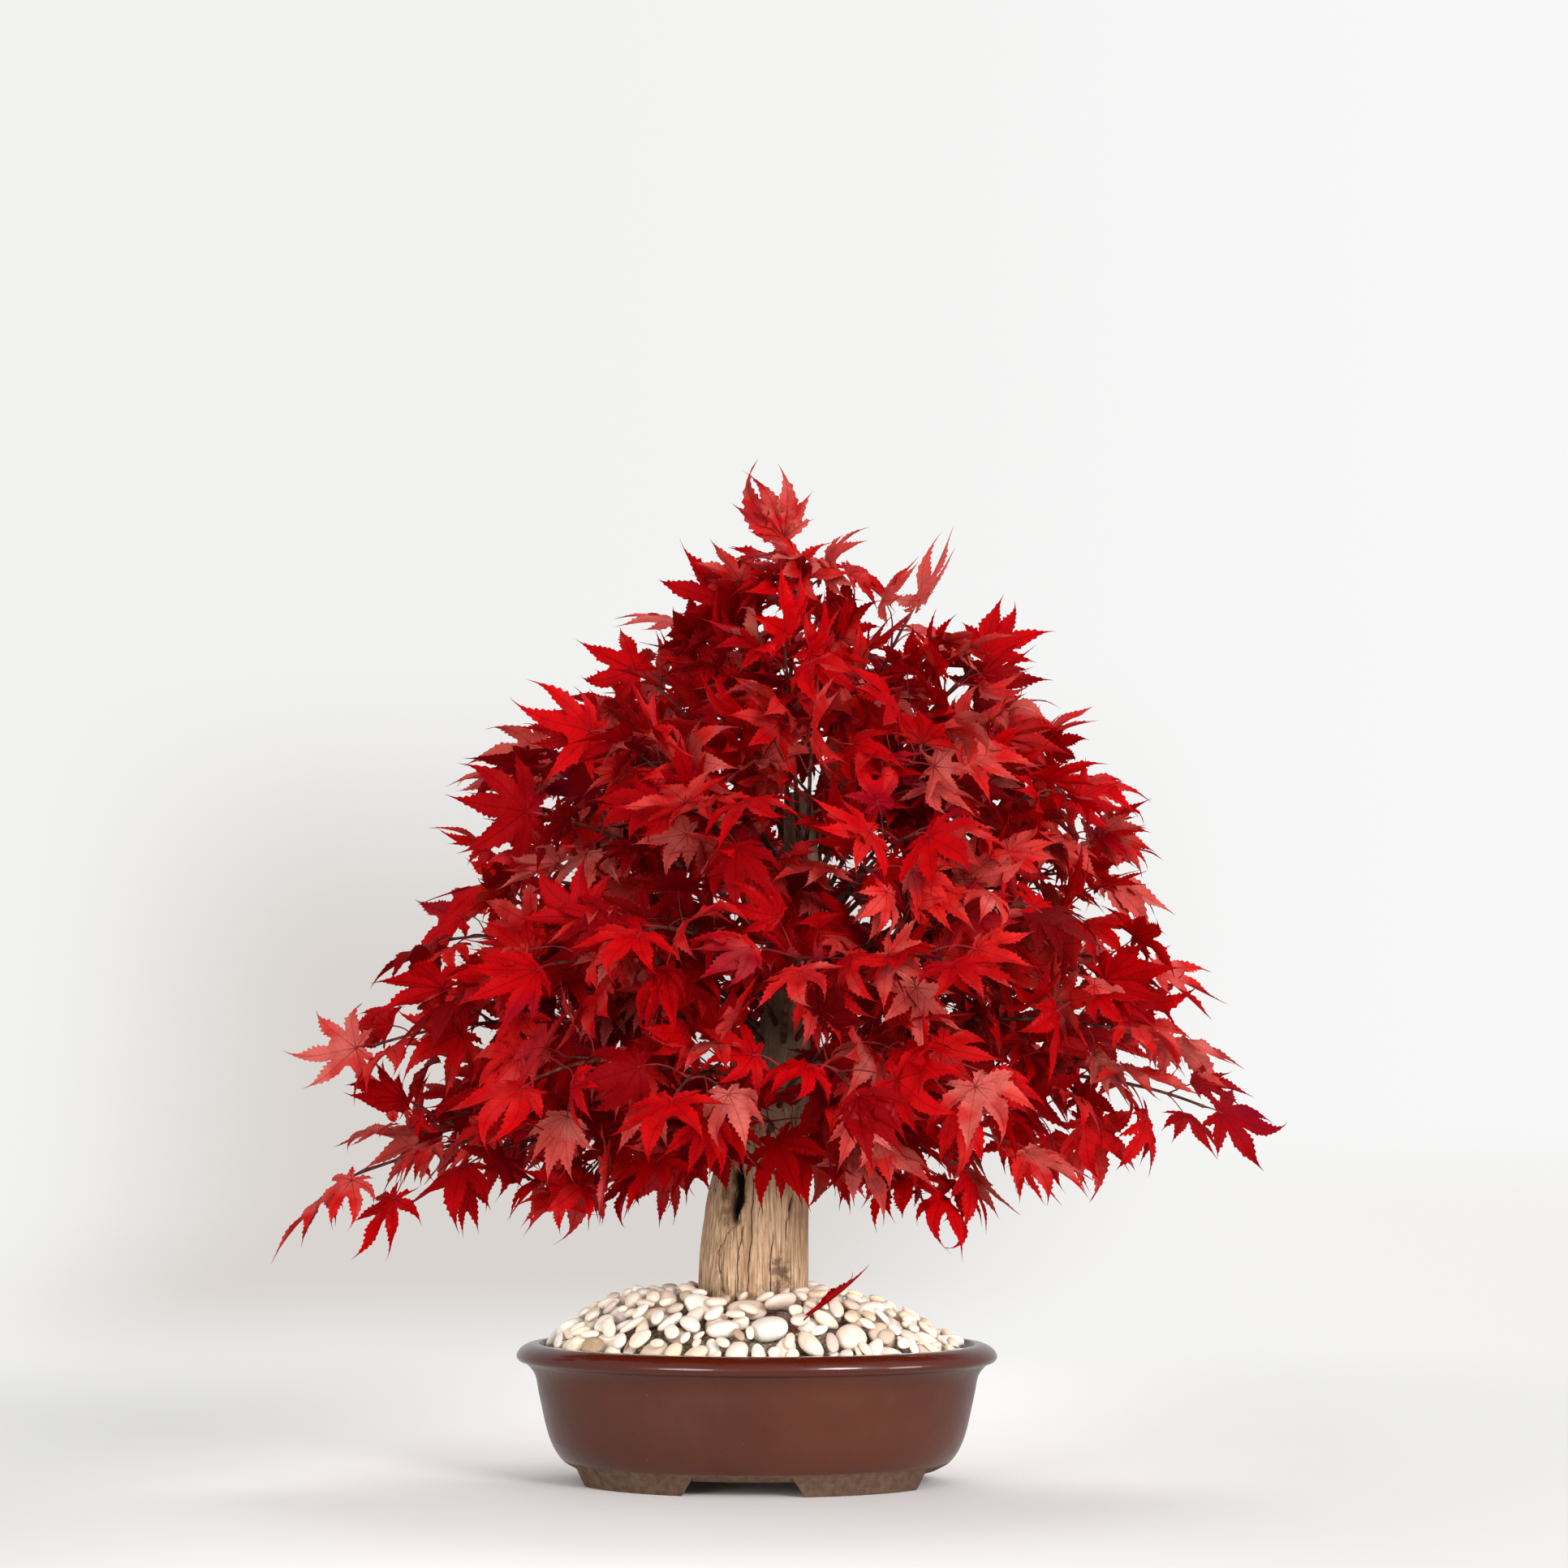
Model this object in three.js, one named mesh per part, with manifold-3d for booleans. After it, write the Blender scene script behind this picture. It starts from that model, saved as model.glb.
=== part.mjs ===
// A red Japanese maple bonsai: a weathered trunk with leafy twigs set in drilled holes, standing in
// soil under a bed of white pebbles, in an oval glazed pot on four feet.
// Millimetres, +Z up, the pot's long axis along X. The origin is the middle of the whole outline, on the
// table.

import * as THREE from "three";
import { mergeVertices } from "three/addons/utils/BufferGeometryUtils.js";
import Module from "manifold-3d";

const wasm = await Module();
wasm.setup();

// Driving dimensions
const GAP = 0.35; // left between pieces that touch
const TREE_TURN = THREE.MathUtils.degToRad(5); // the tree is turned this much in its pot, about Z
const POT = {
  halfWidth: 140.5,
  depthShare: 0.79,
  rimTop: 80.5,
  footHeight: 8.5,
  floorTop: 16,
  sides: 36,
  frontGap: 70.6, // between two feet, along X, on the table
  frontGapTop: 60, // the same under the body, where the feet have spread
  endGap: 74, // between two feet, along Y
  drainRadius: 7,
  drainX: 46,
};
// The dome over the pot, and the layer of pebbles on it
const BED = { edge: 73, rise: 35, fall: 2.5, radius: 122, thickness: 4, trunkRoom: 3.2, soilRoom: 1 };
// Stones in each ring, from the trunk out
const PEBBLE = { rings: [14, 22, 29, 36], height: 8, inset: 0.32 };
const SOIL_SIDES = 18;
const SOIL_SHARES = [1, 0.66, 0.33, 0];
const TRUNK = { foot: 24, top: 402, sides: 12, rings: 10, flutes: 0.05 };
const LEAF = { reach: 46, thickness: 2.2, droop: 0.22, notchRise: 0.05, perTwig: 5 };
const TWIG = { baseRadius: 1.9, tipRadius: 1.15, nodeStep: 22, pairs: 6, segments: 5, sides: 4 };
const PETIOLE_RADIUS = 1.05;
const LEAF_TRIANGLES = 10600; // what all twigs with their leaves may take
const SEED = 71;

// Lobes and the notches between them, as [degrees from the midrib, share of the leaf's reach]
const LOBES = [
  [-134, 0.4],
  [-88, 0.7],
  [-43, 0.92],
  [0, 1],
  [43, 0.92],
  [88, 0.7],
  [134, 0.4],
];
const NOTCHES = [
  [-112, 0.19],
  [-66, 0.27],
  [-21, 0.38],
  [21, 0.38],
  [66, 0.27],
  [112, 0.19],
  [180, 0.07],
];

// The trunk's middle line and radius, as [height, x, y, radius], in the tree's own axes
const TRUNK_LINE = [
  [24, -4, 0, 31],
  [110, -3, 0, 31.5],
  [153, -1, 0, 29.5],
  [188, 4, 0, 26.5],
  [250, 14, 2, 17.5],
  [300, 27, 4, 13.5],
  [350, 27, 2, 11],
  [402, 24, 0, 8],
];

// Twig tips by level, as [x, y, z, facing, lift], with x to the right and y away as the tree is looked at.
// facing turns the end leaf's upper face to the front, and lift raises its tip.
const TWIG_TIPS = {
  low: [
    [-240, -10, 176, 0.2, -0.2],
    [-178, 24, 204, 0],
    [-158, -52, 190, 0],
    [-102, -64, 190, 0],
    [-50, -78, 194, 1],
    [10, -82, 206, 1],
    [64, -92, 204, 0.6],
    [104, -22, 190, 0],
    [146, -62, 198, 0.3],
    [186, 26, 206, 0],
    [262, 0, 218, 0.3, 0.35],
    [-60, 108, 192, 0],
    [62, 118, 196, 0],
  ],
  skirt: [
    [-222, -18, 254, 1.4, 0.4],
    [-122, -126, 236, 0.6],
    [-42, -160, 230, 1.2],
    [52, -164, 234, 0.6],
    [116, -138, 238, 1],
    [228, -34, 258, 0, 0.3],
    [-120, 118, 222, 0],
    [-20, 166, 222, 0],
    [140, 104, 236, 0],
  ],
  middle: [
    [-162, -66, 284, 0.4],
    [-182, 14, 316, 0.3],
    [-142, 12, 352, 0],
    [-112, -124, 300, 0.6],
    [-58, -158, 318, 1.4],
    [26, -166, 300, 1],
    [104, -146, 302, 0.5],
    [152, -104, 332, 0.3],
    [226, -12, 302, 0.3],
    [-78, 144, 298, 0],
    [22, 162, 300, 0],
    [108, 126, 316, 0],
  ],
  upper: [
    [-122, -68, 386, 0.8],
    [-34, -144, 386, 0.5],
    [90, -134, 372, 1.4],
    [192, 24, 356, 0],
    [176, -24, 404, 0],
    [-70, 116, 372, 0],
    [28, 132, 384, 0],
    [112, 98, 404, 0],
    [-84, -84, 430, 1.2],
    [32, -112, 430, 0.7],
    [104, -88, 430, 0.5],
  ],
  crown: [
    [-116, 10, 424, 0],
    [126, -12, 474, 0.4],
    [-38, 78, 450, 0],
    [62, 66, 458, 0],
    [-62, 0, 468, 0],
    [90, -4, 506, 0.8],
    [16, -74, 482, 0.8],
    [-14, 10, 506, 0.3],
    [20, -4, 543, 1.2],
  ],
};
const TIP_LOW = 180;
const TIP_HIGH = 545;
const BASE_LOW = 186;
const BASE_HIGH = 388;

// Vectors as plain [x, y, z]
const UP = [0, 0, 1];
const add = (a, b, k = 1) => [a[0] + b[0] * k, a[1] + b[1] * k, a[2] + b[2] * k];
const times = (a, k) => [a[0] * k, a[1] * k, a[2] * k];
const dot = (a, b) => a[0] * b[0] + a[1] * b[1] + a[2] * b[2];
const cross = (a, b) => [
  a[1] * b[2] - a[2] * b[1],
  a[2] * b[0] - a[0] * b[2],
  a[0] * b[1] - a[1] * b[0],
];
const size = (a) => Math.sqrt(dot(a, a));
const unit = (a) => times(a, 1 / size(a));
const square = (a, axis) => unit(add(a, axis, -dot(a, axis))); // the part of a at right angles to axis
const radians = THREE.MathUtils.degToRad;

// Seeded draws from 0 to 1, so that the tree grows the same each time
function draws(seed) {
  let state = seed >>> 0;
  return () => {
    state = (state + 0x6d2b79f5) >>> 0;
    let t = Math.imul(state ^ (state >>> 15), state | 1);
    t ^= t + Math.imul(t ^ (t >>> 7), t | 61);
    return ((t ^ (t >>> 14)) >>> 0) / 4294967296;
  };
}

// A solid from a list of corners and a list of triangles
function solid(corners, triangles) {
  return new wasm.Manifold(
    new wasm.Mesh({
      numProp: 3,
      vertProperties: new Float32Array(corners.flat()),
      triVerts: new Uint32Array(triangles.flat()),
    }),
  );
}

// A solid from a three.js geometry, with its shared corners merged
function solidOf(geometry) {
  const bare = new THREE.BufferGeometry().setAttribute("position", geometry.getAttribute("position"));
  bare.setIndex(geometry.getIndex());
  const merged = mergeVertices(bare, 1e-3);
  const corners = merged.getAttribute("position");
  const index = merged.getIndex().array;
  const points = Array.from({ length: corners.count }, (_, i) => [
    corners.getX(i),
    corners.getY(i),
    corners.getZ(i),
  ]);
  const triangles = [];
  for (let i = 0; i < index.length; i += 3) {
    const [a, b, c] = [index[i], index[i + 1], index[i + 2]];
    if (a !== b && b !== c && a !== c) triangles.push([a, b, c]);
  }
  return solid(points, triangles);
}

// A closed tube through rings of corners, each ring with as many corners as the first
function throughRings(rings) {
  const n = rings[0].length;
  const corners = rings.flat();
  const triangles = [];
  for (let r = 0; r + 1 < rings.length; r++)
    for (let i = 0; i < n; i++) {
      const [a, b] = [r * n + i, r * n + ((i + 1) % n)];
      triangles.push([a, b, b + n], [a, b + n, a + n]);
    }
  const last = (rings.length - 1) * n;
  for (let i = 1; i + 1 < n; i++) {
    triangles.push([0, i + 1, i], [last, last + i, last + i + 1]);
  }
  return solid(corners, triangles);
}

// The rings of a straight-sided stem through points, with a radius at each
function stemRings(points, radii, sides) {
  return points.map((p, k) => {
    const along = unit(add(points[Math.min(k + 1, points.length - 1)], points[Math.max(k - 1, 0)], -1));
    const side = square(Math.abs(along[2]) > 0.9 ? [1, 0, 0] : UP, along);
    const other = cross(along, side);
    return Array.from({ length: sides }, (_, i) => {
      const turn = (i / sides) * 2 * Math.PI;
      return add(add(p, side, radii[k] * Math.cos(turn)), other, radii[k] * Math.sin(turn));
    });
  });
}

const stem = (points, radii, sides) => throughRings(stemRings(points, radii, sides));

// Trunk

// A value of the trunk's line at a height, smoothly through its listed points
function trunkValue(height, column) {
  const rows = TRUNK_LINE;
  const last = rows.length - 2;
  let k = 0;
  while (k < last && height > rows[k + 1][0]) k++;
  const slope = (i) => {
    const [a, b] = [rows[Math.max(i - 1, 0)], rows[Math.min(i + 1, rows.length - 1)]];
    return (b[column] - a[column]) / (b[0] - a[0]);
  };
  const span = rows[k + 1][0] - rows[k][0];
  const t = Math.min(Math.max((height - rows[k][0]) / span, 0), 1);
  const [t2, t3] = [t * t, t * t * t];
  return (
    (2 * t3 - 3 * t2 + 1) * rows[k][column] +
    (t3 - 2 * t2 + t) * span * slope(k) +
    (3 * t2 - 2 * t3) * rows[k + 1][column] +
    (t3 - t2) * span * slope(k + 1)
  );
}

// The trunk's middle at a height, and its radius with the furrows of old wood
const trunkMiddle = (height) => [trunkValue(height, 1), trunkValue(height, 2), height];
const trunkRadius = (height, turn) =>
  trunkValue(height, 3) *
  (1 + TRUNK.flutes * (Math.sin(3 * turn + height / 60) + 0.7 * Math.sin(7 * turn - height / 45)));

function trunkSolid(extra = 0, foot = TRUNK.foot, top = TRUNK.top) {
  const rings = Array.from({ length: TRUNK.rings }, (_, k) => {
    const height = foot + ((top - foot) * k) / (TRUNK.rings - 1);
    const middle = trunkMiddle(height);
    return Array.from({ length: TRUNK.sides }, (_, i) => {
      const turn = (i / TRUNK.sides) * 2 * Math.PI;
      const radius = trunkRadius(height, turn) + extra;
      return add(middle, [radius * Math.cos(turn), radius * Math.sin(turn), 0]);
    });
  });
  return throughRings(rings);
}

// Twigs and leaves

// How a twig leaves the trunk and arrives at its tip, in degrees over the level: the lowest twigs, and how
// much more the highest do
const LEAVE = { low: 24, more: 46 };
const ARRIVE = { low: -22, more: 100 };
const BENDS = { first: 0.36, last: 0.34 }; // its two bends, as shares of its length from its ends
const SET_IN = { most: 6, share: 0.4 }; // how deep it is set in the trunk

// The line of a twig from its hole in the trunk to its tip, as a function of the share along it
function twigLine([x, y, z]) {
  const rise = Math.min(Math.max((z - TIP_LOW) / (TIP_HIGH - TIP_LOW), 0), 1);
  const baseHeight = BASE_LOW + rise * (BASE_HIGH - BASE_LOW);
  const middle = trunkMiddle(baseHeight);
  const out = unit([x - middle[0], y - middle[1], 0]);
  const radius = trunkRadius(baseHeight, Math.atan2(out[1], out[0]));
  const base = add(middle, out, radius - Math.min(SET_IN.most, radius * SET_IN.share));
  const tip = [x, y, z];
  const length = size(add(tip, base, -1));
  const leave = radians(LEAVE.low + LEAVE.more * rise);
  const arrive = radians(ARRIVE.low + ARRIVE.more * rise * rise);
  const first = add(times(out, Math.cos(leave)), UP, Math.sin(leave));
  const last = add(times(out, Math.cos(arrive)), UP, Math.sin(arrive));
  const [p1, p2] = [add(base, first, length * BENDS.first), add(tip, last, -length * BENDS.last)];
  const at = (t) => {
    const s = 1 - t;
    let p = times(base, s * s * s);
    p = add(p, p1, 3 * s * s * t);
    p = add(p, p2, 3 * s * t * t);
    return add(p, tip, t * t * t);
  };
  return { at, length, last, out, rise };
}

// Leaves on a twig: one at its end, and pairs back along it
const END_STALK = 11;
const STALK = { least: 22, spread: 14 };
const END_SIZE = { least: 1.04, spread: 0.14 };
const SIZE = { least: 0.78, spread: 0.32 };
const PAIR_ROLLS = [72, 14]; // leaf pairs stand in turn across the twig and above it, in degrees
const PAIRS_FROM = 0.3; // the share of a twig that stays bare, from the trunk

// Where each leaf of a twig sits: its node on the twig, its junction, its midrib, its upper face and its reach.
// It faces up and away from the trunk, on a petiole that leans out from the twig and along it.
function leafPlaces(tip, index) {
  const draw = draws(SEED + index * 101);
  const spread = (k) => (draw() * 2 - 1) * k;
  const line = twigLine(tip);
  const places = [];
  const place = (node, junction, midrib, facing, reach) => {
    const away = unit([junction[0] - trunkMiddle(junction[2])[0], junction[1], 0]);
    let face = add(times(UP, 0.62 + spread(0.3)), away, 0.72 + spread(0.35));
    face = add(face, [spread(0.8), spread(0.8), spread(0.5)]);
    face = add(face, [0, -1, 0.15], facing * 1.3);
    places.push({ node, junction, midrib, face: square(face, midrib), reach });
  };
  const end = line.at(1);
  const [, , , facing, lift = 0] = tip;
  const ahead = unit(add(line.last, [spread(0.25), spread(0.25), lift - 0.16 + spread(0.2)]));
  const endReach = LEAF.reach * (END_SIZE.least + draw() * END_SIZE.spread);
  place(end, add(end, ahead, END_STALK), ahead, facing, endReach);
  for (let k = 1; k <= TWIG.pairs; k++) {
    const share = 1 - (k * TWIG.nodeStep) / line.length;
    if (share < PAIRS_FROM) break;
    const node = line.at(share);
    const along = unit(add(line.at(share + 0.02), line.at(share - 0.02), -1));
    const side = square(cross(along, UP), along);
    const over = cross(side, along);
    const roll = radians(PAIR_ROLLS[k % 2] + spread(22));
    for (const hand of [1, -1]) {
      const way = add(times(side, hand * Math.cos(roll)), over, hand * Math.sin(roll));
      const petiole = unit(add(add(times(along, 0.55), way, 0.85), UP, 0.1));
      const junction = add(node, petiole, STALK.least + draw() * STALK.spread);
      let midrib = add(times(line.out, 0.6), way, 0.62);
      midrib = add(midrib, UP, -0.42 + 0.75 * line.rise + spread(0.25));
      midrib = unit(add(midrib, [spread(0.3), spread(0.3), 0]));
      place(node, junction, midrib, facing * 0.4, LEAF.reach * (SIZE.least + draw() * SIZE.spread));
    }
  }
  return places;
}

// One seven-lobed blade: a star of lobes, thickest where its ribs meet, with drooping tips and raised
// notches. A curled one has its lobes drawn in towards the midrib.
function blade({ junction, midrib, face, reach, curl = 1 }) {
  const across = cross(face, midrib);
  const corner = ([degrees, share], lift) => {
    const [turn, r] = [radians(degrees < 180 ? degrees * curl : degrees), share * reach];
    const drop = -LEAF.droop * share * share * reach + lift;
    const p = add(add(junction, midrib, r * Math.cos(turn)), across, r * Math.sin(turn));
    return add(p, face, drop);
  };
  const outline = LOBES.flatMap((lobe, k) => [corner(lobe, 0), corner(NOTCHES[k], LEAF.notchRise * reach)]);
  const n = outline.length;
  const corners = [
    ...outline,
    add(junction, face, LEAF.thickness / 2),
    add(junction, face, -LEAF.thickness / 2),
  ];
  const triangles = [];
  for (let i = 0; i < n; i++) triangles.push([n, i, (i + 1) % n], [n + 1, (i + 1) % n, i]);
  return solid(corners, triangles);
}

function petiole({ node, junction, midrib }) {
  const end = add(junction, midrib, 1.5);
  return stem([node, end], [PETIOLE_RADIUS, PETIOLE_RADIUS * 0.85], 3);
}

const boxesMeet = (a, b, room) =>
  [0, 1, 2].every((k) => a.min[k] < b.max[k] + room && b.min[k] < a.max[k] + room);

// Whether a piece comes nearer than the gap to any in a list
function meets(piece, others) {
  const box = piece.boundingBox();
  return others.some((o) => boxesMeet(box, o.boundingBox(), GAP) && piece.minGap(o, 2 * GAP) < GAP);
}

function twigRings(tip, extra) {
  const line = twigLine(tip);
  const n = TWIG.segments;
  const points = Array.from({ length: n + 1 }, (_, k) => line.at(k / n));
  const taper = (TWIG.tipRadius - TWIG.baseRadius) / n;
  const radii = points.map((_, k) => TWIG.baseRadius + taper * k + extra);
  return stemRings(points, radii, TWIG.sides);
}

const twigSolid = (tip) => throughRings(twigRings(tip, 0));

// The hole that a twig stands in: its first stretch, a little wider and a little deeper
function twigHole(tip) {
  const [first, second, third] = twigRings(tip, 1.6 * GAP);
  const back = unit(add(first[0], second[0], -1));
  return throughRings([first.map((p) => add(p, back, GAP)), second, third]);
}

// All twigs with the leaves that fit clear of each other, outermost leaves first
function grow(tips, trunk) {
  const twigs = tips.map((tip, index) => ({
    places: leafPlaces(tip, index),
    parts: [twigSolid(tip)],
    leaves: 0,
  }));
  const stems = twigs.map((t) => t.parts[0]);
  const standing = [];
  let triangles = stems.reduce((sum, s) => sum + s.numTri(), 0);
  const rounds = Math.max(...twigs.map((t) => t.places.length));
  for (let round = 0; round < rounds; round++)
    twigs.forEach((twig, index) => {
      const leaf = twig.places[round];
      if (!leaf || twig.leaves >= LEAF.perTwig || triangles > LEAF_TRIANGLES) return;
      const [leafBlade, leafStem] = [blade(leaf), petiole(leaf)];
      const whole = leafBlade.add(leafStem);
      const strangers = stems.filter((_, k) => k !== index);
      if (meets(whole, standing) || meets(whole, strangers) || meets(whole, [trunk])) return;
      if (meets(leafBlade, [stems[index]])) return;
      standing.push(whole);
      twig.parts.push(whole);
      twig.leaves++;
      triangles += whole.numTri() + 8;
    });
  return twigs;
}

// Pot, soil and pebbles

function lathe(profile, sides = POT.sides) {
  const points = profile.map(([r, z]) => new THREE.Vector2(r, z));
  const geometry = new THREE.LatheGeometry(points, sides).rotateX(Math.PI / 2);
  return solidOf(geometry.scale(1, POT.depthShare, 1));
}

// The pot's inner wall from its floor to its lip, as [half width, height]
const INNER_WALL = [
  [104, POT.floorTop],
  [115, 28],
  [121, 48],
  [124.5, 72],
];
const OUTER_WALL = [
  [106, POT.footHeight],
  [114.5, 14],
  [121.5, 27],
  [127, 50],
  [129.5, 62],
  [134.5, 68.5],
];

function boxAt(width, depth, height, x, y, z) {
  return solidOf(new THREE.BoxGeometry(width, depth, height).translate(x, y, z));
}

// What is cut between the feet through the front and the back, narrower at its top
function frontGapSolid(depth) {
  const [low, high] = [POT.frontGap / 2, POT.frontGapTop / 2];
  const ring = (y) => [
    [-low, y, -1],
    [-high, y, POT.footHeight],
    [high, y, POT.footHeight],
    [low, y, -1],
  ];
  return throughRings([ring(-depth / 2), ring(depth / 2)]);
}

function drainSolid(x) {
  const hole = new THREE.CylinderGeometry(POT.drainRadius, POT.drainRadius, 40, 12);
  return solidOf(hole.rotateX(Math.PI / 2).translate(x, 0, 12));
}

function potSolid() {
  const w = POT.halfWidth;
  const rim = [
    [w - 1.5, 70.5],
    [w, 73.5],
    [w - 2.5, 77.5],
    [w - 7.5, POT.rimTop - 0.4],
    [w - 13, POT.rimTop],
  ];
  const body = lathe([
    [0, POT.footHeight],
    ...OUTER_WALL,
    ...rim,
    ...[...INNER_WALL].reverse(),
    [0, POT.floorTop],
  ]);
  const ring = lathe([
    [92, 0],
    [107, 0],
    [112.5, 14],
    [92, 14],
    [92, 0],
  ]);
  const reach = 3 * w;
  const feet = ring
    .subtract(frontGapSolid(reach))
    .subtract(boxAt(reach, POT.endGap, 2 * POT.footHeight, 0, 0, 0));
  return body.add(feet).subtract(drainSolid(POT.drainX)).subtract(drainSolid(-POT.drainX));
}

// The dome over the pot: its height at a share of the way out from the middle
const domeHeight = (share) => BED.edge + BED.rise * (1 - share ** BED.fall);

function soilSolid(hole) {
  const wall = INNER_WALL.slice(0, -1).map(([r, z]) => [r - 0.6, z]);
  wall[0][1] += GAP;
  const top = SOIL_SHARES.map((s) => [BED.radius * s, domeHeight(s) - BED.thickness - BED.soilRoom]);
  return lathe([[0, POT.floorTop + GAP], ...wall, ...top], SOIL_SIDES).subtract(hole);
}

// A point of the bed, from the hole round the trunk (0) out to the pot's wall (1), a lift over the dome
function bedPoint(way, turn, lift) {
  const middle = trunkMiddle(BED.edge + BED.rise);
  const radius = trunkRadius(middle[2], turn - TREE_TURN) + BED.trunkRoom;
  const [cosine, sine] = [Math.cos(turn), Math.sin(turn)];
  const offset = [middle[0] * Math.cos(TREE_TURN), middle[0] * Math.sin(TREE_TURN)];
  const [nearX, nearY] = [offset[0] + radius * cosine, offset[1] + radius * sine];
  const [farX, farY] = [BED.radius * cosine, BED.radius * POT.depthShare * sine];
  const [x, y] = [nearX + (farX - nearX) * way, nearY + (farY - nearY) * way];
  const share = Math.hypot(x, y / POT.depthShare) / BED.radius;
  return [x, y, domeHeight(share) + lift];
}

// The pebbles' bed: rings of stones that meet in grooves, each a many-sided cell with a smaller raised top
function pebbleSolid() {
  const draw = draws(SEED);
  const rings = PEBBLE.rings;
  const whole = 2 * Math.PI;
  const cuts = rings.map((count, ring) => {
    const wobble = ring < rings.length - 1 ? 0.3 : 0;
    return Array.from({ length: count }, (_, k) => ((k + wobble * (draw() - 0.5) + 0.001) / count) * whole);
  });
  const circles = Array.from({ length: rings.length + 1 }, (_, k) => {
    const turns = [...(cuts[k - 1] ?? []), ...(cuts[k] ?? [])].sort((a, b) => a - b);
    return turns.map((turn) => ({ turn, way: k / rings.length }));
  });
  const corners = [];
  const triangles = [];
  const push = (point) => corners.push(point) - 1;
  const inside = (circle) => circle > 0 && circle < rings.length;
  circles.forEach((circle, k) => {
    for (const spot of circle) {
      const way = spot.way + (inside(k) ? (0.2 * (draw() - 0.5)) / rings.length : 0);
      spot.low = push(bedPoint(way, spot.turn, 0));
      spot.under = push(bedPoint(way, spot.turn, -BED.thickness));
    }
  });
  const between = (circle, from, to) => {
    const span = (to - from + whole) % whole;
    return circle
      .map((spot) => ({ ...spot, along: (spot.turn - from + whole) % whole }))
      .filter((spot) => spot.along <= span + 1e-9)
      .sort((a, b) => a.along - b.along);
  };
  cuts.forEach((turns, ring) =>
    turns.forEach((from, k) => {
      const to = turns[(k + 1) % turns.length];
      const loop = [...between(circles[ring + 1], from, to), ...between(circles[ring], from, to).reverse()];
      const n = loop.length;
      const centre = times(loop.reduce((sum, spot) => add(sum, corners[spot.low]), [0, 0, 0]), 1 / n);
      const height = PEBBLE.height * (0.8 + 0.4 * draw());
      const top = loop.map(({ low }) => {
        const inward = add(corners[low], add(centre, corners[low], -1), PEBBLE.inset);
        return push(add(inward, UP, height));
      });
      for (let i = 0; i < n; i++) {
        const j = (i + 1) % n;
        triangles.push([loop[i].low, loop[j].low, top[j]], [loop[i].low, top[j], top[i]]);
      }
      for (let i = 1; i + 1 < n; i++) {
        triangles.push([top[0], top[i], top[i + 1]]);
        triangles.push([loop[0].under, loop[i + 1].under, loop[i].under]);
      }
    }),
  );
  const wall = (circle, sign) =>
    circle.forEach((a, i) => {
      const b = circle[(i + 1) % circle.length];
      const [p, q] = sign > 0 ? [a, b] : [b, a];
      triangles.push([p.under, q.under, q.low], [p.under, q.low, p.low]);
    });
  wall(circles[rings.length], 1);
  wall(circles[0], -1);
  return solid(corners, triangles);
}

// The whole

const wood = new THREE.MeshStandardMaterial({ color: 0xa98c6c, roughness: 0.85, metalness: 0 });
const foliage = new THREE.MeshStandardMaterial({ color: 0xb4141a, roughness: 0.55, metalness: 0 });
const glaze = new THREE.MeshStandardMaterial({ color: 0x5e3226, roughness: 0.3, metalness: 0 });
const stone = new THREE.MeshStandardMaterial({ color: 0xe6dccd, roughness: 0.6, metalness: 0 });
const earth = new THREE.MeshStandardMaterial({ color: 0x4a4038, roughness: 0.95, metalness: 0 });

function meshOf(name, whole, material) {
  const { vertProperties, triVerts } = whole.getMesh();
  const geometry = new THREE.BufferGeometry()
    .setAttribute("position", new THREE.BufferAttribute(vertProperties, 3))
    .setIndex(new THREE.BufferAttribute(triVerts, 1))
    .toNonIndexed();
  geometry.computeVertexNormals();
  const mesh = new THREE.Mesh(geometry, material);
  mesh.name = name;
  return mesh;
}

const turned = (whole) => whole.rotate([0, 0, THREE.MathUtils.radToDeg(TREE_TURN)]);
const largest = (whole) => whole.decompose().sort((a, b) => b.volume() - a.volume())[0];

const tips = Object.values(TWIG_TIPS).flat();
const names = Object.entries(TWIG_TIPS).flatMap(([level, list]) =>
  list.map((_, k) => `twig_${level}_${String(k + 1).padStart(2, "0")}`),
);
const bareTrunk = trunkSolid();
const twigs = grow(tips, bareTrunk);
const drilled = bareTrunk.subtract(wasm.Manifold.union(tips.map(twigHole)));

// The fallen leaf stands edge-on among the pebbles, its petiole between two of them
const FALLEN = {
  node: [18, -70, 88],
  junction: [31, -71, 102],
  midrib: unit([0.83, -0.05, 0.55]),
  reach: 43,
  curl: 0.36,
};
FALLEN.face = square([-0.55, 0.12, 0.83], FALLEN.midrib);
const fallen = blade(FALLEN).add(petiole(FALLEN));
const trunkHole = turned(trunkSolid(2 * GAP, TRUNK.foot - GAP));
const leafHole = turned(stem([FALLEN.node, FALLEN.junction], [2.6, 2.6], 5));

const tree = new THREE.Group();
tree.add(meshOf("trunk", turned(largest(drilled)), wood));
twigs.forEach((twig, k) => {
  tree.add(meshOf(names[k], turned(largest(wasm.Manifold.union(twig.parts))), foliage));
});
tree.add(meshOf("fallen_leaf", turned(largest(fallen)), foliage));

const planter = new THREE.Group();
planter.add(meshOf("pot", potSolid(), glaze));
planter.add(meshOf("soil", largest(soilSolid(trunkHole)), earth));
planter.add(meshOf("pebbles", largest(pebbleSolid().subtract(leafHole)), stone));

const bonsai = new THREE.Group();
bonsai.add(tree, planter);

// The origin goes to the middle of the whole outline, on the table
const outline = new THREE.Box3().setFromObject(bonsai);
const middle = outline.getCenter(new THREE.Vector3());
bonsai.position.set(-middle.x, -middle.y, -outline.min.z);

export default bonsai;
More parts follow.
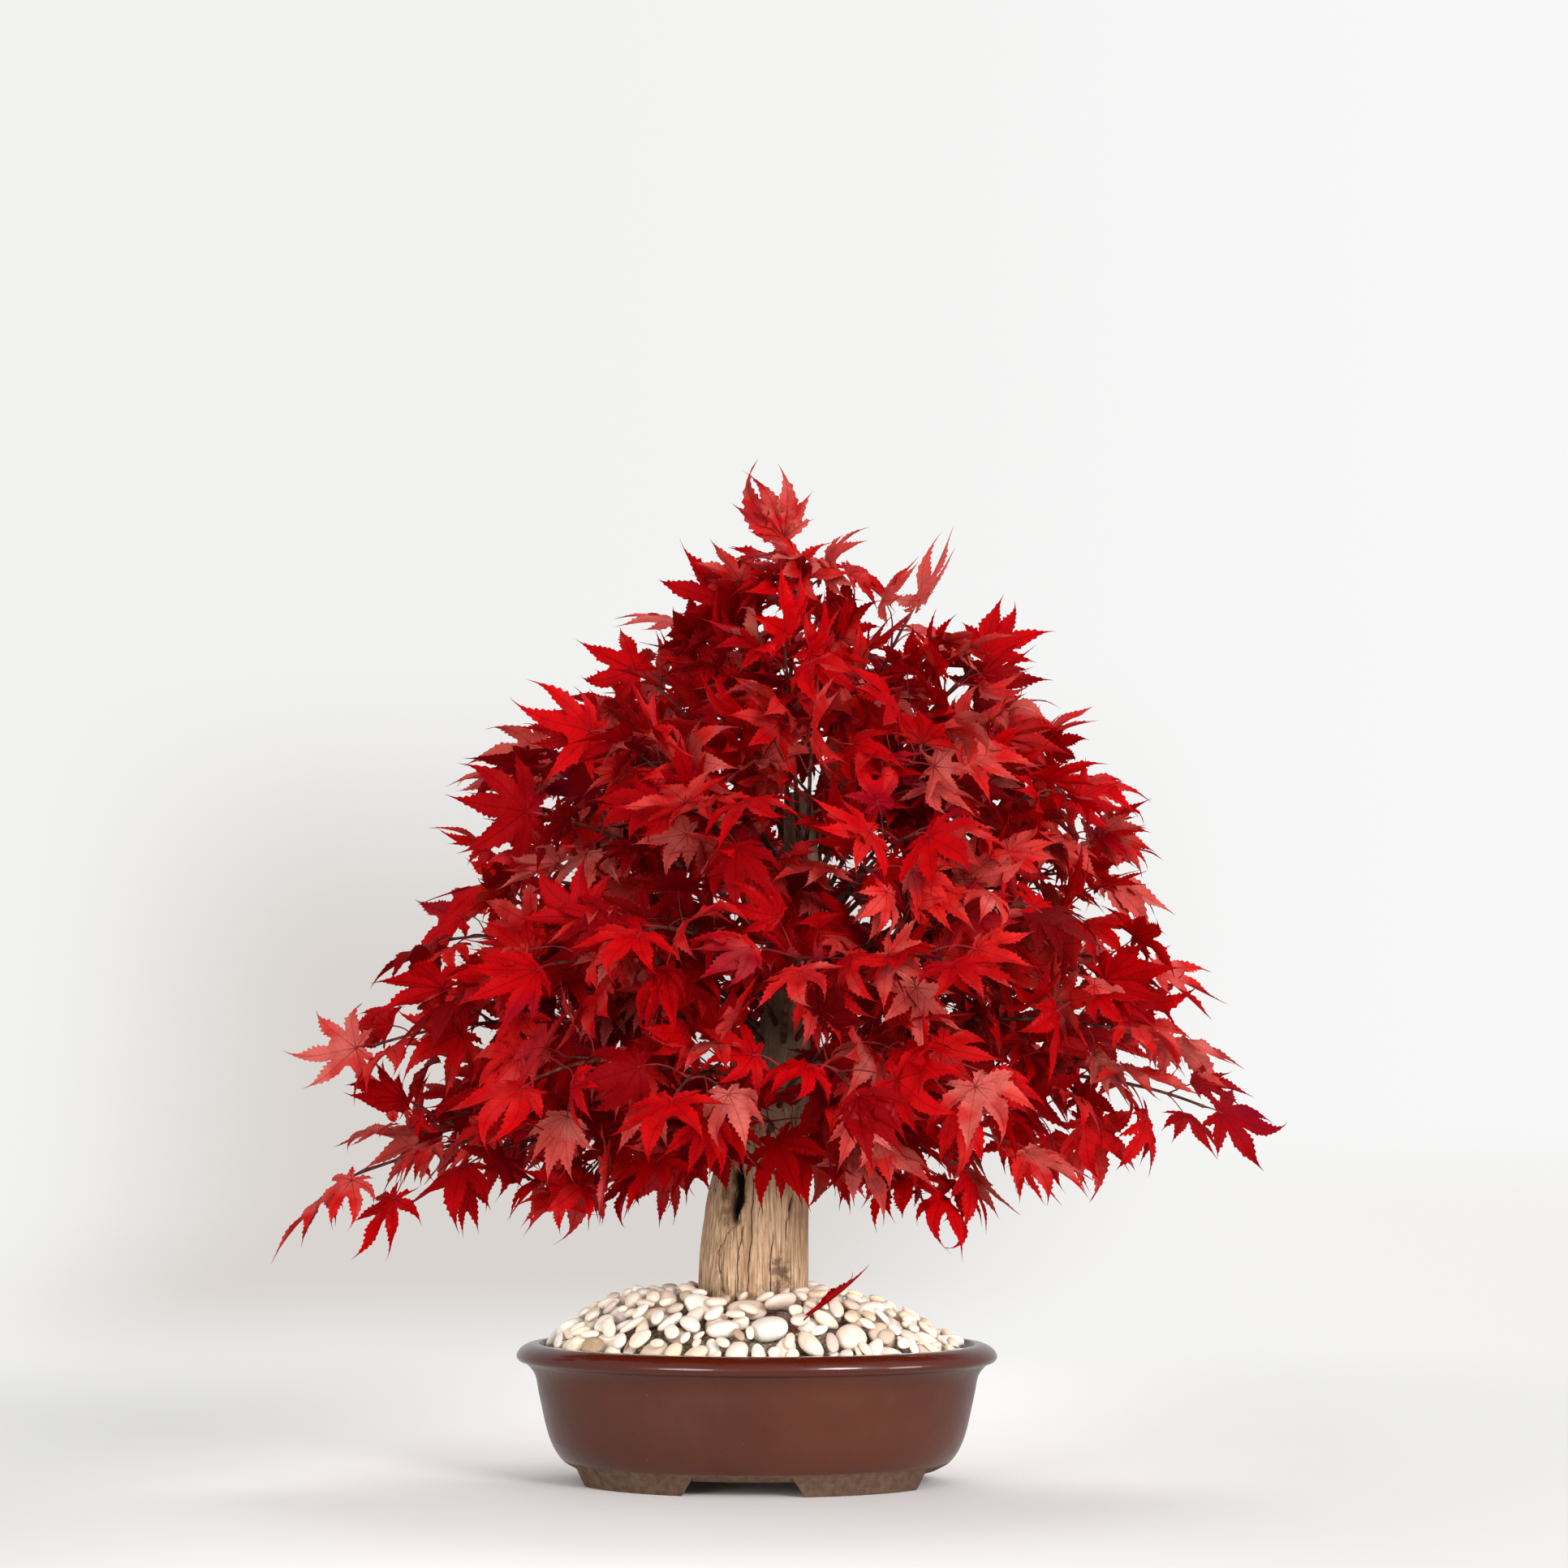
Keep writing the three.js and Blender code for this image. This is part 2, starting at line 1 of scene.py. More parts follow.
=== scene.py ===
"""A red Japanese maple bonsai in its oval pot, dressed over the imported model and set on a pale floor.

The tree grows by the same rule as its solids, so a fine leaf stands where each solid leaf does, and the
leaves that the solids leave out stand between them. Shapes are worked out in millimetres from the middle
of the pot's foot, in the tree's own axes: x to the right and y away as the tree is looked at, z up.
"""

from math import acos, asin, atan2, cos, dist, hypot, pi, radians, sin, sqrt

import bmesh
import bpy
import numpy as np
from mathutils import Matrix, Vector, noise


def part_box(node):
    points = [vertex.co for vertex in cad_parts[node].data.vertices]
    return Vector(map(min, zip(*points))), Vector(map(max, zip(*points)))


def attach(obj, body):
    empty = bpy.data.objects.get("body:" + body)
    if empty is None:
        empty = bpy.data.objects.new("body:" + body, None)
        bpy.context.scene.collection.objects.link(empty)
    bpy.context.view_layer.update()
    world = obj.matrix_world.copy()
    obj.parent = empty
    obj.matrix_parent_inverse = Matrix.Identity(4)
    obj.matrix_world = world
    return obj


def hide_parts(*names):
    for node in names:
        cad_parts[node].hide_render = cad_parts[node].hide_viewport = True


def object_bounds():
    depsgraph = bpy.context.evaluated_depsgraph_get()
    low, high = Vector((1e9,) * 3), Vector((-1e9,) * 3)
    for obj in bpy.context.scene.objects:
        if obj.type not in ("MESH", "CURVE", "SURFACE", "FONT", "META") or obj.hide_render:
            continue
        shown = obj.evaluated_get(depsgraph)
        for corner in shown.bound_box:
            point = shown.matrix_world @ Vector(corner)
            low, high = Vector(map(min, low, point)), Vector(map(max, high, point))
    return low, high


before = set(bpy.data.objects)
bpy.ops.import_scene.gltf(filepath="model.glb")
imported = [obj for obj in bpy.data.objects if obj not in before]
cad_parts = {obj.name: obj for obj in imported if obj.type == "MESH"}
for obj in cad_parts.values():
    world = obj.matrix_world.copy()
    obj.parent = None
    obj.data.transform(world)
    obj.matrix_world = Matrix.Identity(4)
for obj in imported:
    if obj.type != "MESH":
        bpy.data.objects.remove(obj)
cad_low, cad_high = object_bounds()

MM = 0.001
TREE_TURN = radians(5)  # the tree is turned this much in its pot, about z
pot_low, pot_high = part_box("pot")
POT_MIDDLE = np.array([(pot_low.x + pot_high.x) / 2, (pot_low.y + pot_high.y) / 2, pot_low.z]) / MM
BOX_LOW = np.array(cad_low) / MM
BOX_HIGH = np.array(cad_high) / MM
UP = np.array([0.0, 0.0, 1.0])

# The pot, the bed over it and the trunk, as the solids have them
DEPTH_SHARE = 0.79
FOOT_HEIGHT = 8.5
FLOOR_TOP = 16
BED = {"edge": 73, "rise": 35, "fall": 2.5, "radius": 122, "soil_below": 5}
TRUNK_FOOT = 24
TRUNK_TOP = 402
FLUTES = 0.05  # their depth as a share of the trunk's radius
SEED = 71

# The trunk's middle line and radius, as height, x, y, radius
TRUNK_LINE = (
    (24, -4, 0, 31),
    (110, -3, 0, 31.5),
    (153, -1, 0, 29.5),
    (188, 4, 0, 26.5),
    (250, 14, 2, 17.5),
    (300, 27, 4, 13.5),
    (350, 27, 2, 11),
    (402, 24, 0, 8),
)

# Twig tips by level, as x, y, z, facing and, if any, lift. facing turns the end leaf's upper face to the
# front, and lift raises its tip.
TWIG_TIPS = {
    "low": (
        (-240, -10, 176, 0.2, -0.2),
        (-178, 24, 204, 0),
        (-158, -52, 190, 0),
        (-102, -64, 190, 0),
        (-50, -78, 194, 1),
        (10, -82, 206, 1),
        (64, -92, 204, 0.6),
        (104, -22, 190, 0),
        (146, -62, 198, 0.3),
        (186, 26, 206, 0),
        (262, 0, 218, 0.3, 0.35),
        (-60, 108, 192, 0),
        (62, 118, 196, 0),
    ),
    "skirt": (
        (-222, -18, 254, 1.4, 0.4),
        (-122, -126, 236, 0.6),
        (-42, -160, 230, 1.2),
        (52, -164, 234, 0.6),
        (116, -138, 238, 1),
        (228, -34, 258, 0, 0.3),
        (-120, 118, 222, 0),
        (-20, 166, 222, 0),
        (140, 104, 236, 0),
    ),
    "middle": (
        (-162, -66, 284, 0.4),
        (-182, 14, 316, 0.3),
        (-142, 12, 352, 0),
        (-112, -124, 300, 0.6),
        (-58, -158, 318, 1.4),
        (26, -166, 300, 1),
        (104, -146, 302, 0.5),
        (152, -104, 332, 0.3),
        (226, -12, 302, 0.3),
        (-78, 144, 298, 0),
        (22, 162, 300, 0),
        (108, 126, 316, 0),
    ),
    "upper": (
        (-122, -68, 386, 0.8),
        (-34, -144, 386, 0.5),
        (90, -134, 372, 1.4),
        (192, 24, 356, 0),
        (176, -24, 404, 0),
        (-70, 116, 372, 0),
        (28, 132, 384, 0),
        (112, 98, 404, 0),
        (-84, -84, 430, 1.2),
        (32, -112, 430, 0.7),
        (104, -88, 430, 0.5),
    ),
    "crown": (
        (-116, 10, 424, 0),
        (126, -12, 474, 0.4),
        (-38, 78, 450, 0),
        (62, 66, 458, 0),
        (-62, 0, 468, 0),
        (90, -4, 506, 0.8),
        (16, -74, 482, 0.8),
        (-14, 10, 506, 0.3),
        (20, -4, 543, 1.2),
    ),
}
# The lowest and highest tips, and where those twigs leave the trunk
TIP_HEIGHTS = (180, 545)
BASE_HEIGHTS = (186, 388)
# How a twig leaves the trunk and arrives at its tip, in degrees over the level: the lowest twigs, and how
# much more the highest do
LEAVE = (24, 46)
ARRIVE = (-22, 100)
BENDS = (0.36, 0.34)  # its two bends, as shares of its length from its ends
SET_IN = (6, 0.4)  # how deep it is set in the trunk, at most and as a share of the radius
NODE_STEP = 22  # from one pair of leaves to the next
LEAF_PAIRS = 6
PAIRS_FROM = 0.3  # the share of a twig that stays bare, from the trunk
PAIR_ROLLS = (72, 14)  # degrees that every other pair, and those between, are turned about the twig
LEAF_REACH = 46  # the length of a middle lobe
END_STALK = 11
STALK = (22, 14)  # the least, and what a draw adds, as in the next two
END_SIZE = (1.04, 0.14)
SIZE = (0.78, 0.32)
# A leaf's upper face looks up and out from the trunk, each with the most that a draw turns it by, and to
# the front where its twig says so
FACE_UP = (0.62, 0.3)
FACE_OUT = (0.72, 0.35)
FACE_SPREAD = (0.8, 0.8, 0.5)
TO_FRONT = np.array([0, -1, 0.15])
FRONT_PULL = 1.3
PAIR_PULL = 0.4  # how much of it the leaves of a pair have
END_SINK = 0.16  # how far an end leaf's midrib points down
END_SPREAD = (0.25, 0.25, 0.2)
ROLL_SPREAD = 22
PETIOLE_WAY = (0.55, 0.85, 0.1)  # along the twig, away to its side and up
MIDRIB_WAY = (0.6, 0.62)  # out from the trunk and away to the twig's side
MIDRIB_RISE = (-0.42, 0.75)  # up on the lowest twigs, and how much more on the highest, as in the shoots
MIDRIB_SPREAD = (0.25, 0.3)

# Side shoots, which the solids leave out: one for each step of the part of a twig that bears them
SHOOT_STEP = 36
SHOOTS_PART = 0.62
SHOOTS_FROM = 0.3
SHOOTS_OVER = (0.4, 0.15)  # the share of a twig along which they leave, and how much more on the highest
LOW_TWIGS = 0.35  # twigs that rise less than this have their shoots at their sides and above
SHOOT_AHEAD = (0.3, 0.9)  # how far along the twig a shoot points, at least and at most
SHOOT_RISE = (-0.05, 0.5)
SHOOT_BEND = 0.5
SHOOT_LENGTH = (24, 46)
SHOOT_REACH = (32, 48)
SHOOT_STALK = (10, 26)
SHOOT_MIDRIB = (0.8, 0.5)  # along its petiole and out from the trunk
SHOOT_MIDRIB_RISE = (-0.35, 0.55)
SHOOT_FACE_UP = (0.2, 0.9)
SHOOT_FACE_OUT = (0.3, 1.1)
# Shoots where the crown is fullest, as the share of the twig that they leave from and their tips
MORE_SHOOTS = {
    "low_04": ((0.8, (-98, -60, 178)),),
    "low_08": ((0.7, (100, -40, 182)),),
    "upper_05": (
        (0.66, (134, -24, 422)),
        (0.78, (158, -4, 422)),
        (0.88, (176, -40, 398)),
        (0.72, (148, 16, 394)),
    ),
    "upper_04": ((0.8, (184, -4, 376)), (0.66, (166, 10, 346)), (0.86, (190, 16, 366))),
    "crown_01": ((0.85, (-126, 0, 412)),),
    "crown_02": ((0.8, (120, -20, 440)),),
    "crown_06": ((0.8, (98, -24, 482)),),
    "crown_08": ((0.7, (-30, 2, 490)),),
    "crown_09": ((0.84, (38, -14, 528)), (0.9, (14, -10, 528))),
}
TOP_TWIG = "crown_09"  # its end leaf stands over the tree, larger than the others and of its own tone
TOP_LARGER = 1.18
TOP_TONE = 0.74
# A leaf's tone, from 0 for wine red to 1 for pale scarlet: its mean and spread, and how much darker it is
# painted in the middle of the crown, as painted shade
TONE = (0.52, 0.27)
INNER_PAINTED_SHADE = 0.42
CROWN_MIDDLE = np.array((0, 0, 290))
CROWN_REACH = np.array((175, 140, 240))
# Leaves that the tree has lost, by their numbers on their twig
LOST = {
    "low_01": (1,),
    "low_03": (4,),
    "low_05": (4,),
    "low_08": (4,),
    "low_11": (3,),
    "skirt_01": (3,),
    "middle_02": (3,),
}
# Where the trunk and the inner twigs show between the leaves from the front, as x, z and radius
OPEN_SPOTS = ((16, 268, 14), (10, 250, 10), (30, 402, 12), (62, 345, 10))
SPOT_MARGIN = 8
SPOT_BACK = 10  # leaves farther back than this don't hide a spot
INNER_LEAVES = 4  # the leaves of a twig from this number on keep clear of the open spots

# Lobes as degrees from the midrib, share of the leaf's reach, and teeth on each margin.
# Each notch follows its lobe, and the last is where the petiole joins.
HALF_LOBES = ((43, 0.92, 7), (88, 0.7, 5), (134, 0.4, 3))
LOBES = (*((-turn, length, teeth) for turn, length, teeth in HALF_LOBES[::-1]), (0, 1, 8), *HALF_LOBES)
NOTCHES = (0.16, 0.24, 0.33, 0.33, 0.24, 0.16, 0.06)
# Half the width of a lobe at shares of its length
LOBE_SHARES = (0, 0.31, 0.41, 0.5, 0.58, 0.67, 0.76, 0.86, 1)
LOBE_WIDTHS = (0.1, 0.112, 0.124, 0.12, 0.098, 0.066, 0.034, 0.011, 0)
STRAIGHT = 1e-3  # a bend of less than this is taken as none
# How leaves hang: some as these say, the others by draws between two numbers or round a mean
CURLED_SHARE = 0.5
CURLS = (0.55, 1.0)
DROOPS = (0.0, 0.66)
CUPPED_SHARE = 0.2
CUPPED = (-2.8, -1.5)
CUP = (-0.4, 0.5)
TWIST = 0.5
TOP_FORM = {"curl": 0.5, "droop": 0.04, "cup": -0.5, "twist": 0.35}
NEAR_TOP_FORM = {"curl": 0.74, "droop": 0.08, "cup": -0.6, "twist": 0.4}
FACING_FORM = {"curl": 1.0, "droop": 0.25, "cup": -0.3, "twist": 0.3}
ROLLED_FORM = {"curl": 0.14, "droop": -0.15, "cup": 1.2, "twist": 0.1}


# Vectors and draws


def unit(a):
    """The vector a with length 1."""
    return a / sqrt(a @ a)


def square(a, axis):
    """The part of a at right angles to axis, with length 1."""
    return unit(a - axis * (a @ axis))


def clamp(value, low=0.0, high=1.0):
    return min(max(value, low), high)


def draws(seed):
    """Seeded draws from 0 to 1, the same as those that the solids grow by."""
    state = seed

    def draw():
        nonlocal state
        state = (state + 0x6D2B79F5) & 0xFFFFFFFF
        t = ((state ^ (state >> 15)) * (state | 1)) & 0xFFFFFFFF
        t ^= (t + (((t ^ (t >> 7)) * (t | 61)) & 0xFFFFFFFF)) & 0xFFFFFFFF
        return ((t ^ (t >> 14)) & 0xFFFFFFFF) / 4294967296

    return draw


def in_frame(points, turn=TREE_TURN):
    """Points in the tree's axes, or with turn 0 in the pot's, as millimetres in the row frame."""
    c, s = cos(turn), sin(turn)
    return np.asarray(points, float) @ np.array([[c, s, 0], [-s, c, 0], [0, 0, 1]]) + POT_MIDDLE


# The trunk's line


def trunk_value(height, column):
    """A value of the trunk's line at a height, smoothly through its listed points."""
    rows = TRUNK_LINE
    last = len(rows) - 1
    k = 0
    while k < last - 1 and height > rows[k + 1][0]:
        k += 1

    def slope(i):
        a, b = rows[max(i - 1, 0)], rows[min(i + 1, last)]
        return (b[column] - a[column]) / (b[0] - a[0])

    span = rows[k + 1][0] - rows[k][0]
    t = clamp((height - rows[k][0]) / span)
    t2, t3 = t * t, t * t * t
    return (
        (2 * t3 - 3 * t2 + 1) * rows[k][column]
        + (t3 - 2 * t2 + t) * span * slope(k)
        + (3 * t2 - 2 * t3) * rows[k + 1][column]
        + (t3 - t2) * span * slope(k + 1)
    )


def trunk_middle(height):
    return np.array([trunk_value(height, 1), trunk_value(height, 2), height])


def trunk_radius(height, turn):
    """The trunk's radius with the flutes of old wood. turn may be an array."""
    flutes = np.sin(3 * turn + height / 60) + 0.7 * np.sin(7 * turn - height / 45)
    return trunk_value(height, 3) * (1 + FLUTES * flutes)


# The rule of growth


class Twig:
    """The line of a twig from its hole in the trunk to its tip."""

    def __init__(self, tip):
        low, high = TIP_HEIGHTS
        self.rise = clamp((tip[2] - low) / (high - low))
        base_height = BASE_HEIGHTS[0] + self.rise * (BASE_HEIGHTS[1] - BASE_HEIGHTS[0])
        middle = trunk_middle(base_height)
        self.tip = np.array(tip[:3], float)
        self.facing = tip[3]
        self.lift = tip[4] if len(tip) > 4 else 0
        self.out = unit((self.tip - middle) * (1, 1, 0))
        radius = trunk_radius(base_height, atan2(self.out[1], self.out[0]))
        self.base = middle + self.out * (radius - min(SET_IN[0], radius * SET_IN[1]))
        self.length = dist(self.tip, self.base)
        leave = radians(LEAVE[0] + LEAVE[1] * self.rise)
        arrive = radians(ARRIVE[0] + ARRIVE[1] * self.rise**2)
        first = self.out * cos(leave) + UP * sin(leave)
        self.last = self.out * cos(arrive) + UP * sin(arrive)
        self.second = self.base + first * self.length * BENDS[0]
        self.third = self.tip - self.last * self.length * BENDS[1]

    def at(self, t):
        s = 1 - t
        start, bend = s * s * s * self.base, 3 * s * s * t * self.second
        return start + bend + 3 * s * t * t * self.third + t * t * t * self.tip

    def axes(self, t):
        """The directions along the twig, to its side and over it."""
        along = unit(self.at(t + 0.02) - self.at(t - 0.02))
        side = square(np.cross(along, UP), along)
        return along, side, np.cross(side, along)


def leaf_at(node, junction, midrib, face, reach):
    """One leaf: its node on the twig, its junction, its midrib, its upper face and its reach."""
    face = square(face, midrib)
    return {"node": node, "junction": junction, "midrib": midrib, "face": face, "reach": reach}


def leaf_places(twig, index):
    """The leaves of a twig, by the same draws and numbers as the solids'."""
    draw = draws(SEED + index * 101)
    places = []

    def spread(k):
        return (draw() * 2 - 1) * k

    def place(node, junction, midrib, facing, reach):
        away = unit(np.array([junction[0] - trunk_middle(junction[2])[0], junction[1], 0]))
        face = UP * (FACE_UP[0] + spread(FACE_UP[1])) + away * (FACE_OUT[0] + spread(FACE_OUT[1]))
        face = face + [spread(most) for most in FACE_SPREAD]
        face = face + TO_FRONT * facing * FRONT_PULL
        places.append(leaf_at(node, junction, midrib, face, reach))

    a, b, c = [spread(most) for most in END_SPREAD]
    ahead = unit(twig.last + (a, b, twig.lift - END_SINK + c))
    reach = LEAF_REACH * (END_SIZE[0] + draw() * END_SIZE[1])
    place(twig.tip, twig.tip + ahead * END_STALK, ahead, twig.facing, reach)
    for k in range(1, LEAF_PAIRS + 1):
        share = 1 - k * NODE_STEP / twig.length
        if share < PAIRS_FROM:
            break
        node = twig.at(share)
        along, side, over = twig.axes(share)
        roll = radians(PAIR_ROLLS[k % 2] + spread(ROLL_SPREAD))
        for hand in (1, -1):
            way = side * hand * cos(roll) + over * hand * sin(roll)
            petiole = unit(along * PETIOLE_WAY[0] + way * PETIOLE_WAY[1] + UP * PETIOLE_WAY[2])
            junction = node + petiole * (STALK[0] + draw() * STALK[1])
            rise = MIDRIB_RISE[0] + MIDRIB_RISE[1] * twig.rise + spread(MIDRIB_SPREAD[0])
            midrib = twig.out * MIDRIB_WAY[0] + way * MIDRIB_WAY[1] + UP * rise
            midrib = unit(midrib + (spread(MIDRIB_SPREAD[1]), spread(MIDRIB_SPREAD[1]), 0))
            reach = LEAF_REACH * (SIZE[0] + draw() * SIZE[1])
            place(node, junction, midrib, twig.facing * PAIR_PULL, reach)
    return places


def shoot_places(twig, more, rng):
    """Side shoots of a twig, each as its points, and their leaves, three at the end and one halfway."""
    shoots, places = [], []
    count = int(twig.length * SHOOTS_PART / SHOOT_STEP)
    for k in range(count):
        over_part = SHOOTS_OVER[0] + SHOOTS_OVER[1] * twig.rise
        share = SHOOTS_FROM + over_part * (k + rng.uniform(0.2, 0.8)) / count
        along, side, over = twig.axes(share)
        turn = rng.uniform(-0.3, pi + 0.3) if twig.rise < LOW_TWIGS else rng.uniform(0, 2 * pi)
        way = side * cos(turn) + over * sin(turn)
        start = twig.at(share)
        length = rng.uniform(*SHOOT_LENGTH)
        rise = SHOOT_RISE[0] + SHOOT_RISE[1] * twig.rise
        ahead = unit(along * rng.uniform(*SHOOT_AHEAD) + way + UP * rise)
        bend = unit(ahead + along * SHOOT_BEND + rng.normal(0, 0.15, 3))
        middle = start + ahead * length / 2
        end = middle + bend * length / 2
        shoots.append((start, middle, end))
    for share, end in more:
        start, end = twig.at(share), np.array(end, float)
        shoots.append((start, (start + end) / 2 + rng.normal(0, 2, 3), end))
    for start, middle, end in shoots:
        bend = unit(end - middle)
        across = square(np.cross(bend, UP + 0.01), bend)
        for hand, node in ((0, end), (1, end), (-1, end), (1, middle)):
            ahead = 0.35 if hand else 1.0
            petiole = unit(bend * ahead + across * hand + rng.normal(0, 0.25, 3))
            junction = node + petiole * rng.uniform(*SHOOT_STALK)
            away = unit((junction - trunk_middle(junction[2])) * (1, 1, 0.2))
            rise = SHOOT_MIDRIB_RISE[0] + SHOOT_MIDRIB_RISE[1] * twig.rise
            midrib = petiole * SHOOT_MIDRIB[0] + away * SHOOT_MIDRIB[1] + UP * rise
            midrib = unit(midrib + rng.normal(0, 0.3, 3))
            face = UP * rng.uniform(*SHOOT_FACE_UP) + away * rng.uniform(*SHOOT_FACE_OUT)
            face = face + rng.normal(0, 0.65, 3)
            places.append(leaf_at(node, junction, midrib, face, rng.uniform(*SHOOT_REACH)))
    return shoots, places


# Meshes


def linked(name, data):
    """A new object in the scene."""
    made = bpy.data.objects.new(name, data)
    bpy.context.collection.objects.link(made)
    return made


def smooth(mesh, sharp):
    """Smooths a mesh but for the edges that are sharper than that many degrees."""
    mesh.polygons.foreach_set("use_smooth", [True] * len(mesh.polygons))
    mesh.set_sharp_from_angle(angle=radians(sharp))


class Shells:
    """Closed shells gathered into one mesh. place and kind are what the materials read at each corner."""

    SHARP = 60  # degrees

    def __init__(self):
        self.corners, self.faces, self.slots, self.places, self.kinds = [], [], [], [], []
        self.count = 0

    def add(self, corners, faces, slot, places, kinds):
        """One closed shell. slot is the number of its material, and places and kinds may be one for all."""
        start = self.count
        self.corners.append(corners)
        self.faces += [[i + start for i in face] for face in faces]
        self.slots += [slot] * len(faces)
        self.places.append(np.broadcast_to(places, (len(corners), 3)))
        self.kinds.append(np.broadcast_to(kinds, (len(corners), 3)))
        self.count += len(corners)

    def piece(self, name, nodes, materials):
        """One smooth object of these shells that stands for the CAD nodes named."""
        mesh = bpy.data.meshes.new(name)
        mesh.from_pydata((np.concatenate(self.corners) * MM).tolist(), [], self.faces)
        for material in materials:
            mesh.materials.append(material)
        mesh.polygons.foreach_set("material_index", self.slots)
        for word, values in (("place", self.places), ("kind", self.kinds)):
            attribute = mesh.attributes.new(word, "FLOAT_VECTOR", "POINT")
            attribute.data.foreach_set("vector", np.concatenate(values).astype(np.float32).ravel())
        smooth(mesh, self.SHARP)
        mesh.validate()
        made = linked(name, mesh)
        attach(made, "root")
        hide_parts(*nodes)


def around(sides):
    """The turns of that many corners, once round a ring."""
    return np.arange(sides) / sides * 2 * pi


def tube_faces(rings, sides):
    """Faces of a closed tube of that many rings, outwards if the rings run on along the tube's axis."""
    faces = []
    for r in range(rings - 1):
        for i in range(sides):
            a, b = r * sides + i, r * sides + (i + 1) % sides
            faces.append((a, b, b + sides, a + sides))
    last = (rings - 1) * sides
    return faces + [tuple(range(sides))[::-1], tuple(range(last, last + sides))]


def tube(points, radii, sides):
    """Corners of a round stem through points."""
    points = np.asarray(points)
    turns = around(sides)
    rings = []
    for k, point in enumerate(points):
        along = unit(points[min(k + 1, len(points) - 1)] - points[max(k - 1, 0)])
        side = square(np.array([1.0, 0, 0]) if abs(along[2]) > 0.9 else UP, along)
        other = np.cross(along, side)
        circle = np.outer(np.cos(turns), side) + np.outer(np.sin(turns), other)
        rings.append(point + radii[k] * circle)
    return np.concatenate(rings)


# Leaves


class Blade:
    """The layout of a maple blade, shared by all leaves, and the corners of any one of them.

    A lobe has a rib from the junction to its tip and a toothed margin on each side. Rays run from the
    junction to the notches between lobes. Ribs and rays have an upper and a lower corner, and the thin edge
    has one.
    """

    BASE_STEPS = 3  # from the junction to where the lobes part
    TOOTH_PEAK = 0.72  # how far along its own stretch of margin a tooth has its point: it points ahead
    TEETH_END = 0.78
    RIB, MARGIN, RAY = range(3)
    # How leaves differ from each other, as the least and the most of a draw or its spread in radians
    LOBE_SWING = 0.08
    TIP_SWING = 0.2
    LENGTHS = (0.86, 1.08)
    WIDTHS = (0.84, 1.1)
    TOOTH_SIZES = (0.3, 1.4)
    FOLDS = (0.2, 0.55)  # how steeply the sides of a lobe rise from its rib
    DROOPS = (0.4, 2.0)
    TOOTH = 0.03  # the length of a middle tooth
    FREE_FROM = 0.35  # the share of a lobe from which it bends on its own
    WAVE = (0.5, 9, 2.4)  # how much the fold comes and goes, how fast along a lobe and from lobe to lobe
    # Half the thickness in millimetres along a rib, and how much less it is at the tip, and elsewhere
    RIB_THICK = (0.3, 0.18)
    THICK = 0.14
    UNDER_RIB = 1.7  # how much more the underside stands out
    RAY_SHARE = 0.3  # the share of its lobe at which a notch counts for the material

    def __init__(self):
        self.rows = []
        self.faces = []
        self.lay_out()
        table = np.array(self.rows, float)
        self.form, lobe, ray, self.share, self.side, self.tooth, self.lift = table.T
        self.lobe, self.ray = lobe.astype(int), ray.astype(int)
        self.width = np.interp(self.share, LOBE_SHARES, LOBE_WIDTHS)
        angles = np.radians([degrees for degrees, _, _ in LOBES])
        halves = np.append(np.diff(angles) / 2, pi - angles[-1])
        self.half = halves[self.ray]

    def corner(self, form, lobe=0, ray=0, share=0.0, side=0, tooth=0.0, lift=0):
        """The number of a new corner, share of the way along its lobe or ray."""
        self.rows.append((form, lobe, ray, share, side, tooth, lift))
        return len(self.rows) - 1

    def pair(self, form, **facts):
        """An upper and a lower corner."""
        return self.corner(form, lift=1, **facts), self.corner(form, lift=-1, **facts)

    def lay_out(self):
        """Lists the corners of all rays and lobes, and the faces of each half of a lobe."""
        junction = self.pair(self.RAY)
        steps = self.BASE_STEPS
        rays = []
        for k in range(len(NOTCHES)):
            inner = [self.pair(self.RAY, ray=k, share=j / steps) for j in range(1, steps)]
            rays.append([junction, *inner, (self.corner(self.RAY, ray=k, share=1),) * 2])
        for i, (_, _, teeth) in enumerate(LOBES):
            first = (self.notch_share(i, i), self.notch_share(i, i - 1))
            parts = sum(first) / 2
            valleys = [self.TEETH_END * q / teeth for q in range(1, teeth + 1)]
            valleys.append((1 + self.TEETH_END) / 2)
            stops = [parts * j / steps for j in range(1, steps + 1)]
            stops += [parts + (1 - parts) * t for t in valleys]
            rib = [junction, *(self.pair(self.RIB, lobe=i, share=stop) for stop in stops)]
            rib.append((self.corner(self.MARGIN, lobe=i, share=1),) * 2)
            for side, low, ray in ((1, first[0], rays[i]), (-1, first[1], rays[i - 1])):
                edge = [[corner] for corner in ray]
                for q, t in enumerate(valleys):
                    step = []
                    if q < teeth:
                        peak = self.TEETH_END * (q + self.TOOTH_PEAK) / teeth
                        size = sin(pi * (q + 0.8) / (teeth + 0.8))
                        step.append(self.margin(i, side, low + (1 - low) * peak, size))
                    step.append(self.margin(i, side, low + (1 - low) * t, 0))
                    edge.append(step)
                edge.append([rib[-1]])
                self.skin(rib, edge, side, 0, 1)
                self.skin(rib, edge, side, 1, 2)

    def margin(self, lobe, side, share, tooth):
        """A corner of the thin edge, which is an upper and a lower one at once."""
        return (self.corner(self.MARGIN, lobe=lobe, share=share, side=side, tooth=tooth),) * 2

